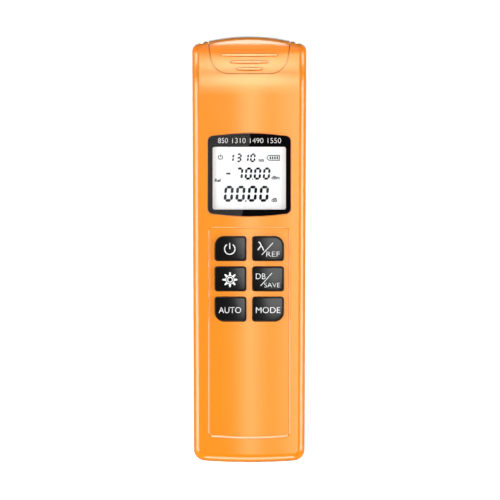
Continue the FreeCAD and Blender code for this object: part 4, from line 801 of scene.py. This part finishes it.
class METER_OT_display(bpy.types.Operator):
    """Finishes the lens and the display module, and lays the display's figures on it"""

    bl_idname = "meter.display"
    bl_label = "Display"

    def execute(self, context):
        colours, sizes = context.scene.meter_colours, context.scene.meter_sizes
        finish_nodes(make_lens_glass(sizes), "display_lens")
        finish_nodes(painted("black_print", colours.frame, 0.3, shine=0.0), "lens_mask")
        lit = painted("lit_display", colours.display, 0.45, glow=0.2, shine=0.0, uneven=0.015)
        finish_nodes(lit, "lcd_panel")
        finish_nodes(painted("white_diffuser", (0.82, 0.83, 0.83), 0.5, glow=0.4), "lcd_backlight")
        finish_nodes(make_layered_strip(), "lcd_connector")
        white, worn = (0.8, 0.81, 0.81), (0.88, 0.88, 0.88)
        finish_nodes(moulded("white_plastic", white, worn, 0.45, sizes.grain, 0.00001, sizes), "lcd_frame")
        ink = painted("display_ink", colours.ink, 0.4, shine=0.0)
        surface = level(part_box("lcd_panel")[1].z)
        art = draw_display(sizes.segment / MM)
        art.lay("display_figures", surface, 0.0, sizes.paint, ink, "body", "display")
        return {"FINISHED"}


# The wavelengths printed above the display, in millimetres: text, left and right.
WAVELENGTHS = (("850", -12.9, -8.8), ("1310", -7.0, -1.5), ("1490", 0.3, 5.8), ("1550", 7.6, 13.1))
ROW_LOW, ROW_WEIGHT = 43.75, -0.012


class METER_OT_wavelength_row(bpy.types.Operator):
    """Prints the row of wavelengths on the lens's black frame"""

    bl_idname = "meter.wavelength_row"
    bl_label = "Wavelength row"

    def execute(self, context):
        colours, sizes = context.scene.meter_colours, context.scene.meter_sizes
        art = Artwork()
        for text, left, right in WAVELENGTHS:
            art.words(text, left, right, ROW_LOW, ROW_LOW + sizes.scale_row / MM, ROW_WEIGHT)
        surface = level(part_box("lens_mask")[1].z)
        paint = painted("frame_lettering", colours.legend, 0.4, shine=0.0)
        art.lay("wavelength_row", surface, 0.0, sizes.paint, paint, "body", "black_print")
        return {"FINISHED"}


class METER_OT_keys(bpy.types.Operator):
    """Finishes the six keys and paints their legends"""

    bl_idname = "meter.keys"
    bl_label = "Keys"

    def execute(self, context):
        colours, sizes = context.scene.meter_colours, context.scene.meter_sizes
        paint, worn = painted("legend_paint", colours.legend, 0.45), (0.02, 0.02, 0.022)
        for key in key_names():
            plastic = moulded(
                key + "_plastic", colours.keys, worn, 0.2, sizes.grain * 1.6, 0.000004, sizes,
                spread=0.3, polish=0.5,
            )
            self.crown(plastic, key)
            finish_nodes(plastic, key)
            name, surface = key.replace("_key", "_legend"), top_of(key)
            art = legend_shapes(key, sizes)
            art.lay(name, surface, sizes.sunk, sizes.paint, paint, key + "_body", "key_plastic")
        return {"FINISHED"}

    def crown(self, plastic, key):
        """Gives one key's finish the slight crown of its top."""
        graph, shader = Graph(plastic.node_tree), plastic.node_tree.nodes["Principled BSDF"]
        low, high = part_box(key)
        rise = use(graph, "crown", Middle_X=(low.x + high.x) / 2, Middle_Y=(low.y + high.y) / 2)["Height"]
        grain = shader.inputs["Normal"].links[0].from_socket
        crowned = graph.add("Bump", Strength=1.0, Distance=8.0, Height=rise, Normal=grain).outputs[0]
        graph.feed(shader, "Normal", crowned)


class METER_OT_port(bpy.types.Operator):
    """Finishes the optical port: its bulkhead, adapter, holder and photodiode"""

    bl_idname = "meter.port"
    bl_label = "Optical port"

    def execute(self, context):
        sizes = context.scene.meter_sizes
        base, worn = (0.02, 0.02, 0.022), (0.07, 0.07, 0.075)
        black = moulded("black_plastic", base, worn, 0.4, sizes.grain, 0.00002, sizes)
        finish_nodes(black, "port_mount", "detector_holder")
        nickel = metal("nickel_plate", (0.68, 0.66, 0.61), 0.22, stretch=(1.0, 8.0, 1.0))
        finish_nodes(nickel, "port_adapter")
        finish_nodes(metal("gold_can", (0.83, 0.61, 0.28), 0.25), "photodiode")
        return {"FINISHED"}


class METER_OT_supply(bpy.types.Operator):
    """Finishes the cells, their contact plates and springs"""

    bl_idname = "meter.supply"
    bl_label = "Battery bay"

    def execute(self, context):
        finish_nodes(make_cell_jacket(), "battery_cell_1", "battery_cell_2", "battery_cell_3")
        finish_nodes(metal("spring_steel", (0.7, 0.7, 0.7), 0.2), "battery_plates", "battery_springs")
        return {"FINISHED"}


class METER_OT_board(bpy.types.Operator):
    """Finishes the circuit board, its chips, the key mat and its contacts"""

    bl_idname = "meter.board"
    bl_label = "Circuit board"

    def execute(self, context):
        colours, sizes = context.scene.meter_colours, context.scene.meter_sizes
        finish_nodes(make_board_mask(colours), "main_board")
        for name, base, worn, roughness, grain, depth, node in (
            ("chip_epoxy", (0.025, 0.025, 0.028), (0.05, 0.05, 0.055), 0.55, 1, 0.00001, "board_chips"),
            ("carbon_print", (0.018, 0.018, 0.019), (0.03, 0.03, 0.03), 0.6, 2, 0.00002, "key_contacts"),
            ("silicone", (0.42, 0.44, 0.45), (0.5, 0.52, 0.53), 0.6, 2, 0.00001, "keypad_mat"),
        ):
            finish_nodes(moulded(name, base, worn, roughness, sizes.grain * grain, depth, sizes), node)
        return {"FINISHED"}


# Lamps low round the meter, in metres: name, place and size.
SIDE_LAMPS = (
    ("left", (-1.0, 0.0, 0.52), (0.62, 0.85)),
    ("right", (1.0, 0.0, 0.42), (0.62, 0.70)),
    ("battery_end", (0.0, -1.0, 0.45), (0.55, 0.62)),
)
PORT_LAMP = ("port_end", (0.0, 1.0, 0.66), (0.62, 1.05))
PORT_LAMP_GAIN = 1.6
KEY_LAMP = ("key_lamp", (0.28, 0.12, 1.0), (0.40, 0.5))
FILL_LAMPS = (
    ("fill_left", (-1.1, 0.0, 1.1), (0.9, 1.2)),
    ("fill_right", (1.1, 0.0, 1.1), (0.9, 1.2)),
)
# Bright patches of the panel overhead: middle, spread and brightness. The first two are X and Y for
# each metre of the panel's height.
SHEEN_HEIGHT, SHEEN_SIZE = 1.2, (1.3, 1.6)
SHEEN_PATCHES = (
    ((0.005, 0.0), (0.06, 0.22), 1.15),
    ((0.26, 0.0), (0.13, 0.25), 1.2),
    ((0.0, 0.36), (0.32, 0.18), 2.7),
)
# Edge of the glare on the lens: its slant in degrees, and a point it passes through.
LENS_GLARE_SLANT, LENS_GLARE_EDGE = -32.9, (-0.0069, 0.0355)


class METER_OT_stage(bpy.types.Operator):
    """Sets the pale floor, the soft lamps and the camera"""

    bl_idname = "meter.stage"
    bl_label = "Stage"

    def execute(self, context):
        scene, stage = context.scene, context.scene.meter_stage
        floor = self.make_floor(stage.floor_size, make_floor_paper(scene.meter_colours))
        floor.visible_glossy = False
        self.make_camera(scene, stage)
        keys = [frame["nodes"][name] for name in key_names()]
        lens = [frame["nodes"]["display_lens"]]
        for lamp in SIDE_LAMPS:
            self.make_lamp(*lamp, stage.strip, skips=keys + lens)
        self.make_lamp(*PORT_LAMP, stage.strip * PORT_LAMP_GAIN, diffuse=False, skips=keys + lens)
        for lamp in FILL_LAMPS:
            self.make_lamp(*lamp, stage.fill, glossy=False)
        self.make_diffuser(stage.sheen, stage.sheen_tint, keys + lens)
        self.make_lamp(*KEY_LAMP, stage.key_shine, diffuse=False, only=keys)
        self.make_lens_panel(stage.lens_shine, lens)
        scene.world = self.make_room(stage.room)
        scene.view_settings.view_transform = "Standard"
        return {"FINISHED"}

    def make_floor(self, side, paper):
        """A flat square sheet that curls up gently far outside the view."""
        flat, curl = side * 0.4, 0.2
        sheet = bmesh.new()
        bmesh.ops.create_grid(sheet, x_segments=24, y_segments=24, size=side / 2)
        for v in sheet.verts:
            v.co.z = max(0.0, v.co.xy.length - flat) ** 2 * curl - FLOOR_DROP
        mesh = bpy.data.meshes.new("floor")
        sheet.to_mesh(mesh)
        sheet.free()
        mesh.materials.append(paper)
        floor = bpy.data.objects.new("floor", mesh)
        bpy.context.scene.collection.objects.link(floor)
        return floor

    def make_camera(self, scene, stage):
        """Straight above the meter, with the port end at the top of the picture."""
        data = bpy.data.cameras.new("camera")
        data.lens = stage.lens
        data.clip_end = 20.0
        camera = bpy.data.objects.new("camera", data)
        half_height = (CAD_BOX[0][2] + CAD_BOX[1][2]) / 2
        away = stage.view_width * stage.lens / data.sensor_width
        camera.location = (*VIEW_MIDDLE, half_height + away)
        scene.collection.objects.link(camera)
        scene.camera = camera

    def make_room(self, strength):
        """An even, faint light from all round."""
        world = bpy.data.worlds.new("room")
        world.use_nodes = True
        ground = world.node_tree.nodes["Background"]
        ground.inputs["Color"].default_value = (1.0, 1.0, 1.0, 1.0)
        ground.inputs["Strength"].default_value = strength
        return world

    def make_lamp(self, name, place, size, brightness, diffuse=True, glossy=True, only=(), skips=()):
        """A soft rectangular lamp of the given brightness, aimed at the meter."""
        data = bpy.data.lights.new(name, "AREA")
        data.shape = "RECTANGLE"
        data.size, data.size_y = size
        data.energy = brightness * math.pi * size[0] * size[1]
        lamp = bpy.data.objects.new(name, data)
        lamp.location = place
        lamp.rotation_mode = "QUATERNION"
        lamp.rotation_quaternion = (-Vector(place)).to_track_quat("-Z", "Y")
        lamp.visible_camera = False
        lamp.visible_diffuse = diffuse
        lamp.visible_glossy = glossy
        bpy.context.scene.collection.objects.link(lamp)
        if only or skips:
            lit = bpy.data.collections.new(name + "_lit")
            for target in only or skips:
                lit.objects.link(target)
            for entry in lit.collection_objects:
                entry.light_linking.link_state = "INCLUDE" if only else "EXCLUDE"
            lamp.light_linking.receiver_collection = lit
        return lamp

    def make_diffuser(self, sheen, tint, skips):
        """A panel overhead that is brightest along the middle, to the right and towards the port end."""
        above = (0.0, 0.0, SHEEN_HEIGHT)
        lamp = self.make_lamp("diffuser", above, SHEEN_SIZE, 1.0, diffuse=False, skips=skips)
        lamp.data.color = tint
        lamp.data.use_nodes = True
        graph = Graph(lamp.data.node_tree)
        place = graph.add("SeparateXYZ", i0=graph.add("NewGeometry").outputs["Position"]).outputs
        light = 0.0
        for middle, spread, gain in SHEEN_PATCHES:
            x, y = (
                graph.sum("MULTIPLY_ADD", along, 1.0 / SHEEN_HEIGHT / spread[i], -middle[i] / spread[i])
                for i, along in enumerate((place["X"], place["Y"]))
            )
            away = graph.sum("MULTIPLY_ADD", x, x, graph.sum("MULTIPLY", y, y))
            fading = graph.sum("EXPONENT", graph.sum("MULTIPLY", away, -1.0))
            light = graph.sum("MULTIPLY_ADD", fading, sheen * gain, light)
        graph.feed(lamp.data.node_tree.nodes["Emission"], "Strength", light)

    def make_lens_panel(self, brightness, lens):
        """A panel whose straight edge runs slantwise over the lens, and shows in it alone."""
        height, wide, long = 0.6, 0.2, 0.3
        slant, edge = math.radians(LENS_GLARE_SLANT), Vector((*LENS_GLARE_EDGE, height))
        lamp = self.make_lamp("lens_panel", edge, (wide, long), brightness, diffuse=False, only=lens)
        lamp.rotation_quaternion = (math.cos(slant / 2), 0.0, 0.0, math.sin(slant / 2))
        lamp.location = edge - Vector((math.cos(slant), math.sin(slant), 0.0)) * wide / 2


OPERATORS = (
    METER_OT_housing,
    METER_OT_cap_liner,
    METER_OT_grips,
    METER_OT_display,
    METER_OT_wavelength_row,
    METER_OT_keys,
    METER_OT_port,
    METER_OT_supply,
    METER_OT_board,
    METER_OT_stage,
)
GROUPS = {"meter_colours": MeterColours, "meter_sizes": MeterSizes, "meter_stage": MeterStage}


class METER_PT_sidebar(bpy.types.Panel):
    """Lists the meter's colours, sizes and pieces"""

    bl_idname = "METER_PT_sidebar"
    bl_label = "Optical power meter"
    bl_space_type = "VIEW_3D"
    bl_region_type = "UI"
    bl_category = "Meter"

    def draw(self, context):
        for name, group in GROUPS.items():
            column = self.layout.column(align=True)
            for key in group.__annotations__:
                column.prop(getattr(context.scene, name), key)
        for operator in OPERATORS:
            self.layout.operator(operator.bl_idname)


def register():
    for made in (*GROUPS.values(), *OPERATORS, METER_PT_sidebar):
        bpy.utils.register_class(made)
    for name, group in GROUPS.items():
        setattr(bpy.types.Scene, name, PointerProperty(type=group))


def unregister():
    for name in GROUPS:
        delattr(bpy.types.Scene, name)
    for made in reversed((*GROUPS.values(), *OPERATORS, METER_PT_sidebar)):
        bpy.utils.unregister_class(made)


def main():
    register()
    bpy.ops.meter.housing()
    bpy.ops.meter.cap_liner()
    bpy.ops.meter.grips()
    bpy.ops.meter.display()
    bpy.ops.meter.wavelength_row()
    bpy.ops.meter.keys()
    bpy.ops.meter.port()
    bpy.ops.meter.supply()
    bpy.ops.meter.board()
    bpy.ops.meter.stage()


if __name__ == "__main__":
    main()
